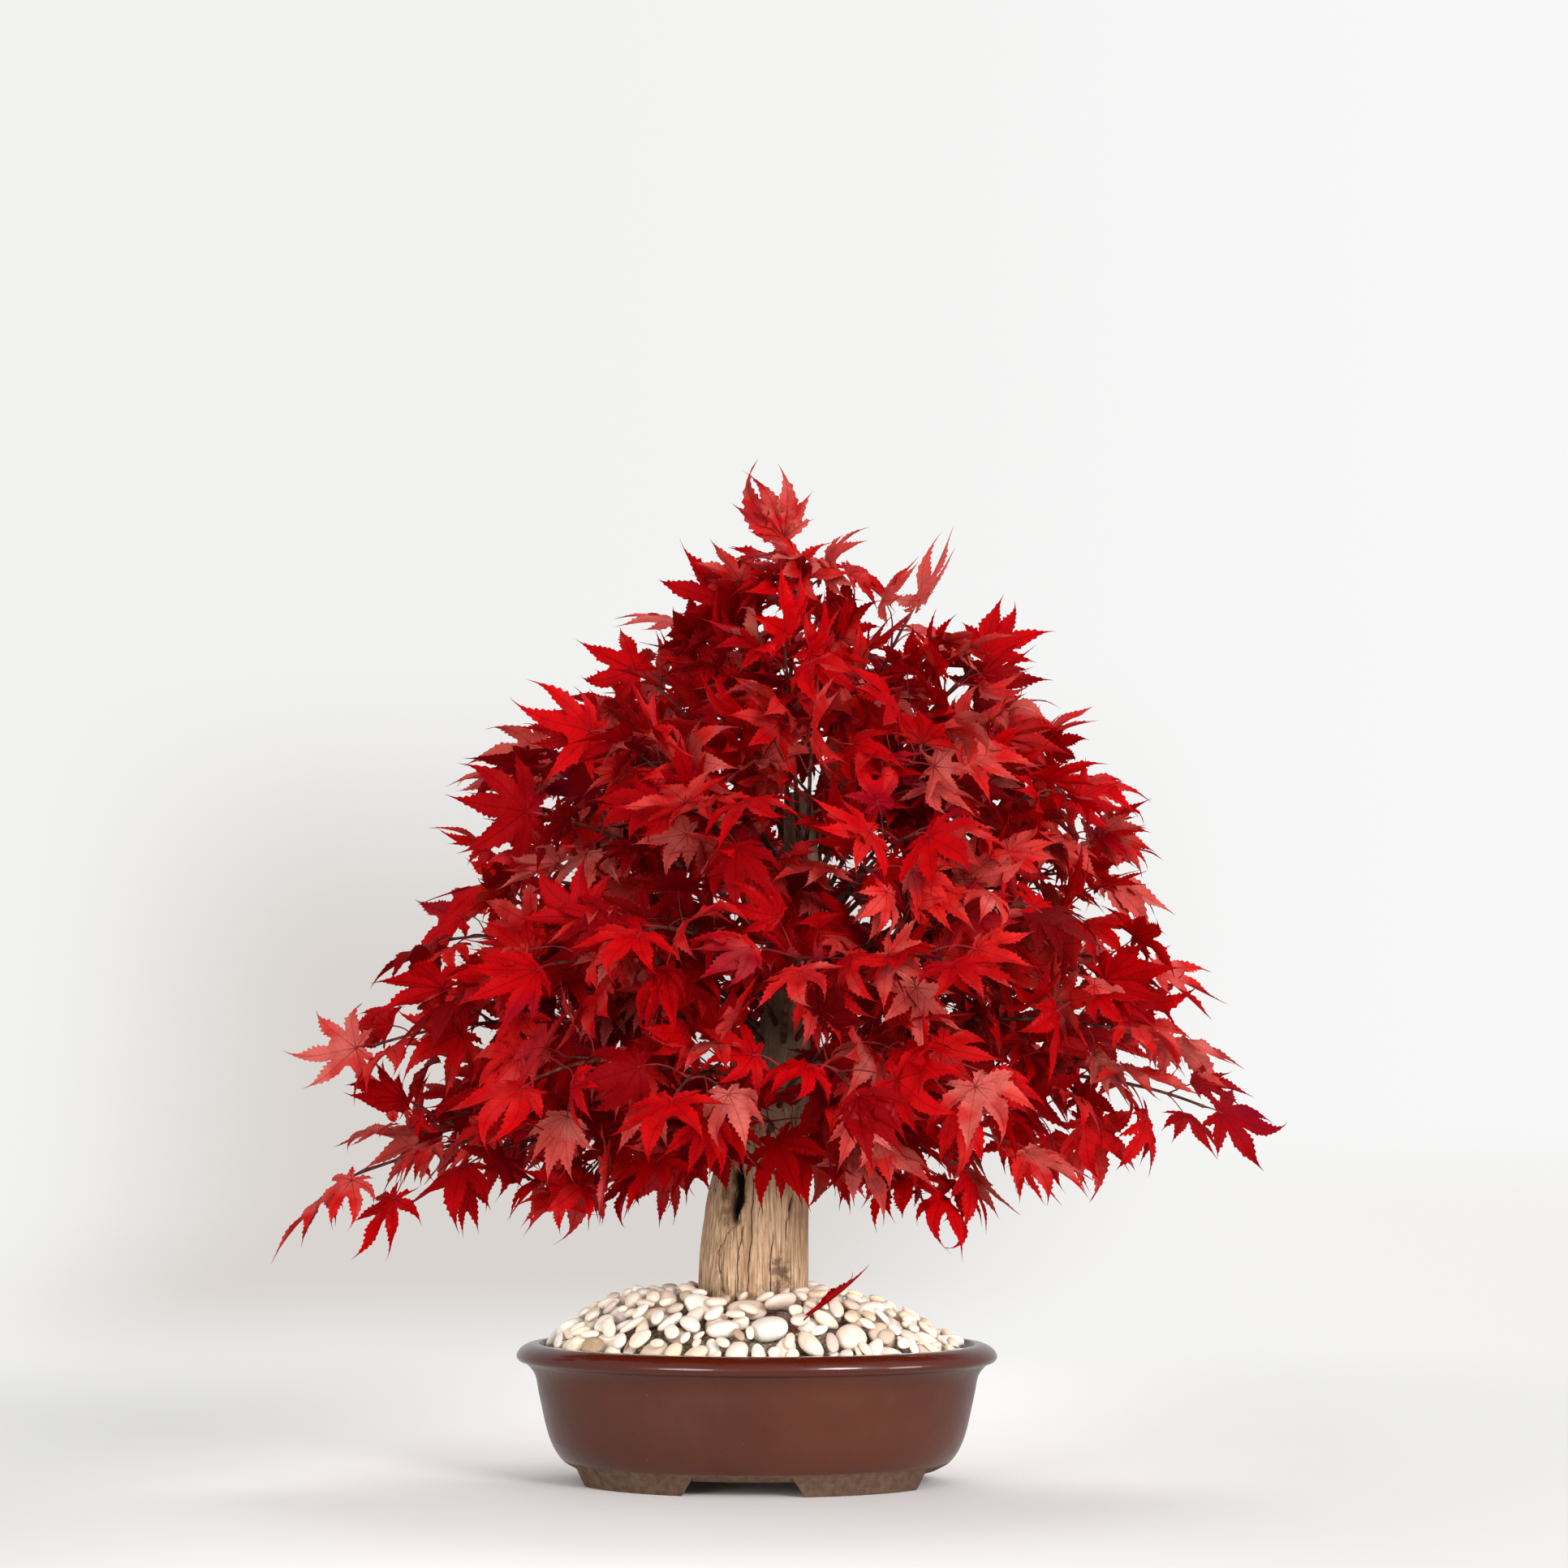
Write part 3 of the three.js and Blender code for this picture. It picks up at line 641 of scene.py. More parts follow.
    @staticmethod
    def notch_share(lobe, notch):
        """How far out along a lobe its notch on one side lies."""
        degrees, length, _ = LOBES[lobe]
        beside = lobe + 1 if notch == lobe else lobe - 1
        outermost = beside in (-1, len(LOBES))
        gap = 2 * (180 - LOBES[-1][0]) if outermost else abs(LOBES[beside][0] - degrees)
        return NOTCHES[notch] / length * cos(radians(gap / 2))

    def skin(self, rib, edge, side, level, step):
        """Faces between a rib and the edge beside it, above or below, over one or more steps at a time."""
        stops = [*range(0, len(rib) - 1, step), len(rib) - 1]
        for a, b in zip(stops, stops[1:]):
            beside = [corner for k in range(a + 1, b + 1) for corner in edge[k]]
            loop = [rib[a], rib[b], *reversed(beside), edge[a][-1]]
            loop = list(dict.fromkeys(corner[level] for corner in loop))
            if (side > 0) == (level == 1):
                loop.reverse()
            self.faces.append(loop)

    def shape(self, rng, reach, curl, droop, cup, twist):
        """Corners of one leaf as shares of its reach: along the midrib, across it and over it.

        curl draws the lobes together, droop bends them down along their length, cup bends the sides up, and
        twist turns the lobes about their ribs.
        """
        lobes = len(LOBES)
        turns = np.radians([degrees for degrees, _, _ in LOBES]) * curl
        turns = turns + rng.normal(0, self.LOBE_SWING, lobes) * curl
        lengths = np.array([length for _, length, _ in LOBES]) * rng.uniform(*self.LENGTHS, lobes)
        between = np.append((turns[:-1] + turns[1:]) / 2, pi)
        is_ray = self.form == self.RAY
        beyond = np.clip((self.share - self.FREE_FROM) / (1 - self.FREE_FROM), 0, 1)
        beyond = np.where(is_ray, 0, beyond)
        u = lengths[self.lobe] * self.share
        wide = lengths[self.lobe] * self.width * rng.uniform(*self.WIDTHS)
        teeth = self.tooth * self.TOOTH * rng.uniform(*self.TOOTH_SIZES, len(self.tooth))
        v = self.side * (wide + teeth)
        radius = np.array(NOTCHES)[self.ray] * self.share
        along = np.where(is_ray, radius * np.cos(self.half), u)
        beside = np.where(is_ray, radius * np.sin(self.half), np.abs(v))
        fold = rng.uniform(*self.FOLDS)
        much, fast, apart = self.WAVE
        wave = np.sin(rng.uniform(0, 6.3) + fast * self.share + apart * self.lobe)
        z = fold * beside * (1 + much * wave)
        tilt = twist * rng.normal(0, 1, lobes)[self.lobe] * beyond
        v, z = v * np.cos(tilt) - z * np.sin(tilt) * (v != 0), z * np.cos(tilt) + v * np.sin(tilt)
        turn = turns[self.lobe] + rng.normal(0, self.TIP_SWING, lobes)[self.lobe] * beyond**2
        x = np.where(is_ray, radius * np.cos(between[self.ray]), u * np.cos(turn) - v * np.sin(turn))
        y = np.where(is_ray, radius * np.sin(between[self.ray]), u * np.sin(turn) + v * np.cos(turn))
        distance = np.hypot(x, y)
        bend = droop * (1 + (rng.uniform(*self.DROOPS, lobes)[self.lobe] - 1) * beyond)
        bend = np.where(np.abs(bend) < STRAIGHT, STRAIGHT, bend)
        shorter = np.sin(bend * distance) / np.maximum(np.abs(bend * distance), 1e-9) * np.sign(bend)
        shorter = np.where(distance > 0, shorter, 1)
        z = z - (1 - np.cos(bend * distance)) / bend
        x, y = x * shorter, y * shorter
        if abs(cup) > STRAIGHT:
            y, z = (1 / cup - z) * np.sin(cup * y), 1 / cup - (1 / cup - z) * np.cos(cup * y)
        rib = self.RIB_THICK[0] - self.RIB_THICK[1] * self.share
        thick = np.where(self.form == self.RIB, rib, self.THICK)
        thick = thick * np.where(self.lift < 0, self.UNDER_RIB, 1) / reach
        z = z + self.lift * thick
        places = np.stack([along * reach, beside * reach, self.lift], 1)
        share = np.where(is_ray, self.RAY_SHARE * self.share, self.share)
        return np.stack([x, y, z], 1), places, share


BLADE = Blade()
PETIOLE_SIDES = 4
PETIOLE_STEPS = 5
PETIOLE_RADIUS = (0.42, 0.4, 0.12)  # between its ends, and how much more at the twig and at the blade
PETIOLE_BOW = (0.06, 0.02, 0.16)  # shares of its length: sideways by spread, upwards at least and at most
INTO_BLADE = 0.8
TWIG_SIDES = 8
TWIG_RING = 5  # millimetres between the rings of a twig's stem
TWIG_RADIUS = (1.75, 0.95)  # at its foot, and how much thinner its tip is, as in the shoots
KNUCKLE = 0.3
SWAY = 0.5
SWAYS = 3
SHOOT_SIDES = 5
SHOOT_STEPS = 6
SHOOT_RADIUS = (0.95, 0.35)


def add_blade(shells, leaf, rng, **form):
    """One leaf blade at its place, made smaller if it would leave the box of the solids."""
    across = np.cross(leaf["face"], leaf["midrib"])
    shape, places, share = BLADE.shape(rng, leaf["reach"], **form)
    axes = np.stack([leaf["midrib"], across, leaf["face"]])
    reach = leaf["reach"]
    while True:
        corners = in_frame(leaf["junction"] + shape @ axes * reach)
        if (corners.min(0) > BOX_LOW).all() and (corners.max(0) < BOX_HIGH).all():
            break
        reach *= 0.95
    kinds = np.stack([np.full(len(share), leaf["tone"]), share, np.full(len(share), rng.uniform())], 1)
    shells.add(corners, BLADE.faces, 0, places, kinds)


def add_petiole(shells, leaf, rng):
    """The thin stalk from the twig to the junction, bowed a little and swollen where it joins the twig."""
    start, end = leaf["node"], leaf["junction"] + leaf["midrib"] * INTO_BLADE
    sideways, *upwards = PETIOLE_BOW
    bow = np.array([*rng.normal(0, sideways, 2), rng.uniform(*upwards)]) * dist(start, end)
    shares = np.linspace(0, 1, PETIOLE_STEPS + 1)
    points = [start + (end - start) * t + bow * sin(pi * t) for t in shares]
    radius, at_twig, at_blade = PETIOLE_RADIUS
    radii = [radius + at_twig * (1 - t) ** 6 + at_blade * t**8 for t in shares]
    corners = in_frame(tube(points, radii, PETIOLE_SIDES))
    faces = tube_faces(len(points), PETIOLE_SIDES)
    shells.add(corners, faces, 1, (0, 0, 0), (leaf["tone"], 0, rng.uniform()))


def add_shoot(shells, points, rng):
    """The stem of a side shoot, bent once."""
    start, middle, end = points
    shares = np.linspace(0, 1, SHOOT_STEPS + 1)
    line = [start * (1 - t) ** 2 + middle * 2 * t * (1 - t) + end * t * t for t in shares]
    corners = in_frame(tube(line, SHOOT_RADIUS[0] - SHOOT_RADIUS[1] * shares, SHOOT_SIDES))
    shells.add(corners, tube_faces(len(line), SHOOT_SIDES), 2, (0, 0, 0), (0.5, 0, rng.uniform()))


def leaf_form(rng, name, number, facing):
    """How one leaf hangs: some flat and open, more with their lobes drooping like the fingers of a hand."""
    if name == TOP_TWIG and number < 3:
        return NEAR_TOP_FORM if number else TOP_FORM
    if number == 0 and facing >= 0.8:
        return FACING_FORM
    curl = rng.uniform(*CURLS) if rng.uniform() < CURLED_SHARE else 1.0
    droop = rng.uniform(*DROOPS)
    cupped = rng.uniform() < CUPPED_SHARE
    cup = rng.uniform(*CUPPED) if cupped else clamp(rng.normal(*CUP), CUPPED[1], CUP[1])
    return {"curl": curl, "droop": droop, "cup": cup, "twist": TWIST}


def add_twig_stem(shells, twig, rng):
    """The stem of a twig, swaying a little and with a knuckle at each pair of leaves."""
    steps = int(twig.length / TWIG_RING)
    shares = np.linspace(0, 1, steps + 1)
    sway = rng.normal(0, SWAY, (SWAYS, 3))
    points, radii = [], []
    for t in shares:
        swing = sum(sway[k] * sin((k + 1.5) * pi * t) for k in range(SWAYS))
        points.append(twig.at(t) + swing * min(4 * t * (1 - t), 1))
        to_node = abs((1 - t) * twig.length / NODE_STEP % 1 - 0.5)
        radii.append(TWIG_RADIUS[0] - TWIG_RADIUS[1] * t + KNUCKLE * clamp((to_node - 0.4) / 0.1))
    corners = in_frame(tube(points, radii, TWIG_SIDES))
    shells.add(corners, tube_faces(len(points), TWIG_SIDES), 2, (0, 0, 0), (0.5, 0, rng.uniform()))


def inwardness(place):
    """How far inside the crown a place lies, from 0 at its outside to 1 at its middle."""
    return clamp(1 - np.linalg.norm((place - CROWN_MIDDLE) / CROWN_REACH))


def in_open_spot(leaf):
    """Whether a leaf hangs in front of the trunk where it shows."""
    x, y, z = leaf["junction"] + leaf["midrib"] * leaf["reach"] * 0.4
    near = (hypot(x - spot_x, z - spot_z) < r + SPOT_MARGIN for spot_x, spot_z, r in OPEN_SPOTS)
    return y < SPOT_BACK and any(near)


def make_twigs(materials):
    """Each twig with its side shoots and all their leaves, as one piece."""
    index = 0
    for level, tips in TWIG_TIPS.items():
        for k, tip in enumerate(tips, 1):
            rng = np.random.default_rng(SEED * 1000 + index)
            twig = Twig(tip)
            name = f"{level}_{k:02d}"
            shells = Shells()
            add_twig_stem(shells, twig, rng)
            shoots, more = shoot_places(twig, MORE_SHOOTS.get(name, ()), rng)
            for points in shoots:
                add_shoot(shells, points, rng)
            for number, leaf in enumerate(leaf_places(twig, index) + more):
                if number in LOST.get(name, ()) or number >= INNER_LEAVES and in_open_spot(leaf):
                    continue
                # painted shade: leaves inside the crown get a darker tone
                leaf["tone"] = clamp(rng.normal(*TONE) - INNER_PAINTED_SHADE * inwardness(leaf["junction"]))
                if name == TOP_TWIG and number == 0:
                    leaf.update(reach=TOP_LARGER * leaf["reach"], tone=TOP_TONE)
                add_blade(shells, leaf, rng, **leaf_form(rng, name, number, twig.facing))
                add_petiole(shells, leaf, rng)
            shells.piece(f"leafy_twig_{name}", [f"twig_{name}"], materials)
            index += 1


def make_fallen_leaf(materials):
    """A leaf rolled up dry, standing edge-on among the pebbles."""
    foot, junction = np.array([18.0, -70, 88]), np.array([31.0, -71, 102])
    midrib, face = unit(np.array([0.83, -0.05, 0.55])), np.array([-0.55, 0.12, 0.83])
    leaf = {**leaf_at(foot, junction, midrib, face, 43), "tone": 0.3}
    rng = np.random.default_rng(SEED)
    shells = Shells()
    add_blade(shells, leaf, rng, **ROLLED_FORM)
    add_petiole(shells, leaf, rng)
    shells.piece("fallen_leaf_rolled", ["fallen_leaf"], materials)


# Trunk

TRUNK_SIDES = 340
# Heights of the trunk's rings: close together where the trunk shows under the leaves
RING_HEIGHTS = [*range(TRUNK_FOOT, 96, 6), *np.arange(96, 200, 1.6), *range(200, TRUNK_TOP, 5), TRUNK_TOP]
# Rotted grooves at the front, as x, the heights that they run between, depth and half width
HOLLOWS = ((-12.3, 149, 196, 9, 2.6), (20.5, 150, 170, 2.5, 1.4))
# Cracks at the front of the trunk, as x, height from top to bottom
CRACKS = (
    ((-7.2, 155), (-18, 144), (-22.3, 135), (-21.5, 126), (-19, 108)),
    ((-6.7, 154), (-10.5, 135), (-11.8, 108)),
    ((-1.5, 182), (-2.9, 144), (-5.7, 108)),
    ((10.4, 150), (9, 130), (8.5, 108)),
    ((22.5, 172), (21.8, 159), (18, 152), (17, 138)),
    ((-15, 196), (-13, 172), (-16, 158)),
)
CRACK_HALF_WIDTH = 0.45
# How deep soft furrows, fine furrows and cracks are where the trunk is thickest, and the deepest hollow
RELIEF = (0.6, 0.3, 1.3)
DEEPEST = 9
THICKEST = 30
LEAST_RELIEF = 0.4
# Furrows by their fineness, seed and width
SOFT_FURROWS = (3.4, 0, 0.3)
FINE_FURROWS = (12, 40, 0.1)


def crack_depth(x, height):
    """How deep a point of the trunk's front lies in a crack, from 0 to 1."""
    deep = np.zeros_like(x)
    for points in CRACKS:
        heights = [h for _, h in points[::-1]]
        if heights[0] < height < heights[-1]:
            middle = np.interp(height, heights, [at for at, _ in points[::-1]])
            middle += 0.35 * sin(height / 4.3) + 0.15 * sin(height / 1.7)
            ends = clamp((heights[-1] - height) / 6) * clamp((height - heights[0]) / 4)
            deep = np.maximum(deep, ends * np.exp(-(((x - middle) / CRACK_HALF_WIDTH) ** 2)))
    return deep


def furrows(turns, height, fineness, seed, width):
    """How deep a point lies in long upright furrows, from 0 to 1."""
    deep = []
    for turn in turns + height * 0.0016:
        at = Vector((cos(turn) * fineness, sin(turn) * fineness, height / 70 + seed))
        deep.append(clamp(1 - abs(noise.noise(at)) / width))
    return np.array(deep)


def hollow_depth(x, height):
    """How deep a point of the trunk's front lies in a rotted groove, in millimetres."""
    deep = np.zeros_like(x)
    for at, low, high, depth, half_width in HOLLOWS:
        over = clamp((height - low) / 8) * clamp((high - height) / 8)
        middle = at + 0.06 * (height - low) + 0.7 * sin(height / 3.7)
        half_width = half_width * (1 + 0.25 * sin(height / 2.3) + 0.2 * sin(height / 5.1))
        deep = np.maximum(deep, depth * over * np.exp(-(((x - middle) / half_width) ** 2)))
    return deep


def make_trunk(material):
    """The bare trunk with its furrows, cracks and hollows. Their depths are what its material reads, to
    paint shade into them.
    """
    turns = around(TRUNK_SIDES)
    front = np.sin(turns) < 0
    rings, depths = [], []
    for height in RING_HEIGHTS:
        middle = trunk_middle(height)
        radius = trunk_radius(height, turns)
        x = middle[0] + radius * np.cos(turns)
        cut = np.where(front, crack_depth(x, height), 0)
        pit = np.where(front, hollow_depth(x, height), 0)
        soft = furrows(turns, height, *SOFT_FURROWS)
        fine = furrows(turns, height, *FINE_FURROWS)
        scale = clamp(trunk_value(height, 3) / THICKEST, LEAST_RELIEF)
        radius = radius - scale * (RELIEF[0] * soft + RELIEF[1] * fine + RELIEF[2] * cut) - pit
        rings.append(middle + np.stack([radius * np.cos(turns), radius * np.sin(turns), 0 * turns], 1))
        depths.append(np.stack([cut, fine, pit / DEEPEST], 1))
    shells = Shells()
    corners = in_frame(np.concatenate(rings))
    shells.add(corners, tube_faces(len(rings), TRUNK_SIDES), 0, np.concatenate(depths), (0, 0, 0))
    shells.piece("weathered_trunk", ["trunk"], [material])


# Pot

# Profiles as half width and height, in the pot's long direction. The oval is as deep as DEPTH_SHARE of its
# width.
OUTER_WALL = ((106, FOOT_HEIGHT), (114.5, 14), (121.5, 27), (127, 50), (129.5, 62), (134.5, 68.5))
RIM = ((139, 70.5), (140.5, 73.5), (138, 77.5), (133, 80.1), (127.5, 80.5))
INNER_WALL = ((124.5, 72), (121, 48), (115, 28), (104, FLOOR_TOP))
FOOT_SECTION = ((92, 14), (92, 1), (93, 0), (106, 0), (107, 1), (112.5, 14))
POT_SIDES = 160
PROFILE_STEPS = 5
FOOT_STEPS = 24
HUB = 1  # half width of the face that closes the floor
POT_SHARP = 40  # degrees
# Half the gap between the feet at the ends, and in front on the table and under the body
END_GAP = 37
FRONT_GAP = (35.3, 30)
DRAIN = {"radius": 7, "x": 46, "top": 30, "sides": 32}


def smooth_line(points, steps):
    """Points of a smooth line through the listed ones."""
    points = [np.array(p, float) for p in points]
    ends = [2 * points[0] - points[1], *points, 2 * points[-1] - points[-2]]
    line = []
    for a, b, c, d in zip(ends, ends[1:], ends[2:], ends[3:]):
        for t in np.arange(steps) / steps:
            bend = (3 * b - a - 3 * c + d) * t**3 + (2 * a - 5 * b + 4 * c - d) * t**2 + (c - a) * t
            line.append(b + bend / 2)
    return [*line, points[-1]]


def lathe(profile, sides, depth=1, x=0):
    """Corners and faces of a turned body round x, closed at both ends. depth makes it an oval."""
    turns = around(sides)
    rings = []
    for radius, height in profile:
        across = x + radius * np.cos(turns)
        rings.append(np.stack([across, radius * depth * np.sin(turns), np.full(sides, height)], 1))
    return np.concatenate(rings), tube_faces(len(profile), sides)


def foot_shell(sign_x, sign_y):
    """One foot: a piece of an oval ring between the gap in front and the gap at the end."""
    corners = []
    for k in range(FOOT_STEPS + 1):
        for r, z in FOOT_SECTION:
            first = asin(END_GAP / (r * DEPTH_SHARE))
            last = acos((FRONT_GAP[0] + (FRONT_GAP[1] - FRONT_GAP[0]) * z / FOOT_HEIGHT) / r)
            turn = first + (last - first) * k / FOOT_STEPS
            corners.append((sign_x * r * cos(turn), sign_y * r * DEPTH_SHARE * sin(turn), z))
    faces = tube_faces(FOOT_STEPS + 1, len(FOOT_SECTION))
    if sign_x * sign_y < 0:
        faces = [face[::-1] for face in faces]
    return np.array(corners), faces


def solid_object(name, shells):
    """A plain object of closed shells, for cutting and joining."""
    mesh = bpy.data.meshes.new(name)
    start, corners, faces = 0, [], []
    for points, loops in shells:
        corners.append(in_frame(points, 0) * MM)
        faces += [[i + start for i in loop] for loop in loops]
        start += len(points)
    mesh.from_pydata(np.concatenate(corners).tolist(), [], faces)
    return linked(name, mesh)


def combine(body, other, operation):
    """Joins other to body or cuts it out, and removes it."""
    step = body.modifiers.new(operation.lower(), "BOOLEAN")
    step.operation = operation
    step.object = other
    step.solver = "EXACT"
    graph = bpy.context.evaluated_depsgraph_get()
    result = bpy.data.meshes.new_from_object(body.evaluated_get(graph))
    body.modifiers.clear()
    body.data = result
    bpy.data.objects.remove(other)


def make_pot(material):
    """The bowl with its feet and its drain holes."""
    outside = smooth_line(OUTER_WALL + RIM, PROFILE_STEPS)
    inside = smooth_line(INNER_WALL, PROFILE_STEPS)
    profile = [(HUB, FOOT_HEIGHT), *outside, *inside, (HUB, FLOOR_TOP)]
    pot = solid_object("glazed_pot", [lathe(profile, POT_SIDES, DEPTH_SHARE)])
    feet = [foot_shell(sx, sy) for sx in (-1, 1) for sy in (-1, 1)]
    combine(pot, solid_object("feet", feet), "UNION")
    wall = [(DRAIN["radius"], 0), (DRAIN["radius"], DRAIN["top"])]
    holes = [lathe(wall, DRAIN["sides"], x=sign * DRAIN["x"]) for sign in (-1, 1)]
    combine(pot, solid_object("holes", holes), "DIFFERENCE")
    smooth(pot.data, POT_SHARP)
    pot.data.materials.clear()
    pot.data.materials.append(material)
    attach(pot, "root")
    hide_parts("pot")


# Pebbles

BED_ROOM = 124  # half width of the room that the pebbles lie in
PEBBLE_LENGTHS = (16, 25)
LARGE_PEBBLES = (25, 31)
LARGE_SHARE = 0.12
PEBBLE_SIZES = (1, 0.8, 0.64)  # smaller stones follow once no more of the larger ones fit
PEBBLE_WIDTHS = (0.5, 0.78)  # as shares of the length
PEBBLE_HEIGHTS = (0.68, 0.92)  # as shares of the width
PEBBLE_TRIES = 70  # places tried for each stone
# Large stones in front of the trunk, as x, y, length, turn and slope to the right
FRONT_STONES = ((-27, -43, 27, 0.1, -0.35), (-2, -45, 27, 0, 0.05), (19, -47, 24, 0.8, 0.3))
FRONT_SHAPE = (0.64, 0.46)  # their width and thickness as shares of their length
PEBBLE_MISSES = 14  # stones in a row that find no place, before the next smaller size
FROM_WALL = 0.7  # how near a stone's middle comes to the pot's wall, as a share of its mean radius
FROM_TRUNK = 0.92
WITH_DOME = 0.7  # the share of the bed's slope that a stone follows
TILT_SPREAD = 0.22
DENT = (0.07, 2.6)  # how deep a worn stone's soft dents are, and how close together
CUTS = 6
CUT_AT = (0.6, 0.85)
CUT_SHARE = 0.8
ROUNDNESS = (0.85, 1.0)
# The shares of broken stones at the right of an x and at its left
BROKEN_FROM = 35
BROKEN_RIGHT = 0.6
BROKEN_LEFT = 0.12
PEBBLE_TOP = 9.5  # how far the pebbles' tops stand over the dome
PEBBLE_SINK = 1.3  # how far a stone settles in between those under it
# How much higher the bed is heaped at the left, and where
LEFT_HEAP = {"rise": 7, "x": -88, "half_width": 34, "half_depth": 60}
CELL = 1.0


def dome_height(x, y):
    """The dome over the pot, in the pot's axes. x and y may be arrays."""
    share = np.hypot(x, y / DEPTH_SHARE) / BED["radius"]
    return BED["edge"] + BED["rise"] * (1 - np.minimum(share, 1.02) ** BED["fall"])


def heap_height(x, y):
    """How high the pebbles are heaped."""
    h = LEFT_HEAP
    left = np.exp(-(((x - h["x"]) / h["half_width"]) ** 2)) * np.exp(-((y / h["half_depth"]) ** 2))
    return dome_height(x, y) + PEBBLE_TOP + h["rise"] * left


class Heap:
    """The surface of a growing heap of pebbles, on a grid of cells."""

    def __init__(self):
        xs = np.arange(-BED_ROOM, BED_ROOM + CELL, CELL)
        ys = np.arange(-BED_ROOM * DEPTH_SHARE, BED_ROOM * DEPTH_SHARE + CELL, CELL)
        self.x, self.y = np.meshgrid(xs, ys, indexing="ij")
        self.low = (xs[0], ys[0])
        self.height = dome_height(self.x, self.y) - BED["soil_below"]

    def patch(self, stone):
        """The cells under a stone, with its half thickness and its tilt at each."""
        reach = stone["a"] + CELL
        cells = []
        for at, low in ((stone["x"], self.low[0]), (stone["y"], self.low[1])):
            cells.append(slice(max(int((at - reach - low) / CELL), 0), int((at + reach - low) / CELL) + 2))
        cells = tuple(cells)
        dx, dy = self.x[cells] - stone["x"], self.y[cells] - stone["y"]
        c, s = cos(stone["yaw"]), sin(stone["yaw"])
        inside = 1 - ((dx * c + dy * s) / stone["a"]) ** 2 - ((dy * c - dx * s) / stone["b"]) ** 2
        tilt = dx * stone["tilt_x"] + dy * stone["tilt_y"]
        return cells, inside > 0, stone["c"] * np.sqrt(np.maximum(inside, 0)), tilt

    def rest(self, stone):
        """The height at which a stone's middle comes to rest."""
        cells, under, half, tilt = self.patch(stone)
        return (self.height[cells] + half - tilt)[under].max()

    def lay(self, stone):
        """Raises the surface to the top of a stone."""
        cells, under, half, tilt = self.patch(stone)
        top = stone["z"] + tilt + half
        self.height[cells] = np.where(under, np.maximum(self.height[cells], top), self.height[cells])


def room_for(x, y, reach):
    """Whether a stone at this place is clear of the pot's wall and of the trunk."""
    edge = FROM_WALL * reach
    if hypot(x / (BED_ROOM - edge), y / (BED_ROOM * DEPTH_SHARE - edge)) > 1:
        return False
    middle = in_frame(trunk_middle(BED["edge"] + BED["rise"]))[:2] - POT_MIDDLE[:2]
    turn = atan2(y - middle[1], x - middle[0])
    radius = trunk_radius(BED["edge"] + BED["rise"], turn - TREE_TURN)
    return hypot(x - middle[0], y - middle[1]) > radius + FROM_TRUNK * reach


def lie_at(stone, x, y, rng):
    """A stone at a place, tilted with the dome and a little more."""
    step = 2.0
    slope_x = float(heap_height(x + step, y) - heap_height(x - step, y)) / (2 * step)
    slope_y = float(heap_height(x, y + step) - heap_height(x, y - step)) / (2 * step)
    tilt_x, tilt_y = np.array([slope_x, slope_y]) * WITH_DOME + rng.normal(0, TILT_SPREAD, 2)
    return {**stone, "x": x, "y": y, "tilt_x": tilt_x, "tilt_y": tilt_y}


def pack_pebbles():
    """Stones dropped one by one where they come to rest lowest under the heap's surface."""
    rng = np.random.default_rng(SEED + 5)
    heap = Heap()
    stones = [lay_front_stone(heap, *facts, rng) for facts in FRONT_STONES]
    for size in PEBBLE_SIZES:
        misses = 0
        while misses < PEBBLE_MISSES:
            stone = lay_next(heap, size, rng)
            if stone is None:
                misses += 1
            else:
                misses = 0
                stones.append(stone)
    return stones


def lay_front_stone(heap, x, y, length, turn, slope, rng):
    """One of the large stones that lie against the front of the trunk."""
    a = length / 2
    stone = lie_at({"a": a, "b": FRONT_SHAPE[0] * a, "c": FRONT_SHAPE[1] * a, "yaw": turn}, x, y, rng)
    stone["tilt_x"] = slope
    stone["z"] = heap.rest(stone) - PEBBLE_SINK
    heap.lay(stone)
    return stone


def lay_next(heap, size, rng):
    """One more stone, in the lowest of some places for it, or None if each would stand too high."""
    large = size == 1 and rng.uniform() < LARGE_SHARE
    a = size * rng.uniform(*(LARGE_PEBBLES if large else PEBBLE_LENGTHS)) / 2
    b = a * rng.uniform(*PEBBLE_WIDTHS)
    stone = {"a": a, "b": b, "c": b * rng.uniform(*PEBBLE_HEIGHTS)}
    best, best_over = None, 0.0
    for _ in range(PEBBLE_TRIES):
        x = rng.uniform(-BED_ROOM, BED_ROOM)
        y = rng.uniform(-BED_ROOM, BED_ROOM) * DEPTH_SHARE
        if not room_for(x, y, (a + b) / 2):
            continue
        trial = lie_at({**stone, "yaw": rng.uniform(0, pi)}, x, y, rng)
        trial["z"] = heap.rest(trial) - PEBBLE_SINK
        over = trial["z"] + trial["c"] - heap_height(x, y)
        if over < best_over:
            best, best_over = trial, over
    if best:
        heap.lay(best)
    return best


def stone_shape(sphere, stone, rng):
    """A smooth worn stone or, more often at the right, a broken one with flat places."""
    p = sphere.copy()
    for _ in range(3):
        way = unit(rng.normal(0, 1, 3))
        p *= (1 - DENT[0] * (1 + np.sin(DENT[1] * (sphere @ way) + rng.uniform(0, 6.3))))[:, None]
    broken = rng.uniform() < (BROKEN_RIGHT if stone["x"] > BROKEN_FROM else BROKEN_LEFT)
    if broken:
        for _ in range(CUTS):
            way = unit(rng.normal(0, 1, 3))
            over = np.maximum(p @ way - rng.uniform(*CUT_AT), 0)
            p -= CUT_SHARE * over[:, None] * way
    else:
        p = np.sign(p) * np.abs(p) ** rng.uniform(*ROUNDNESS, 3)
    return p, broken


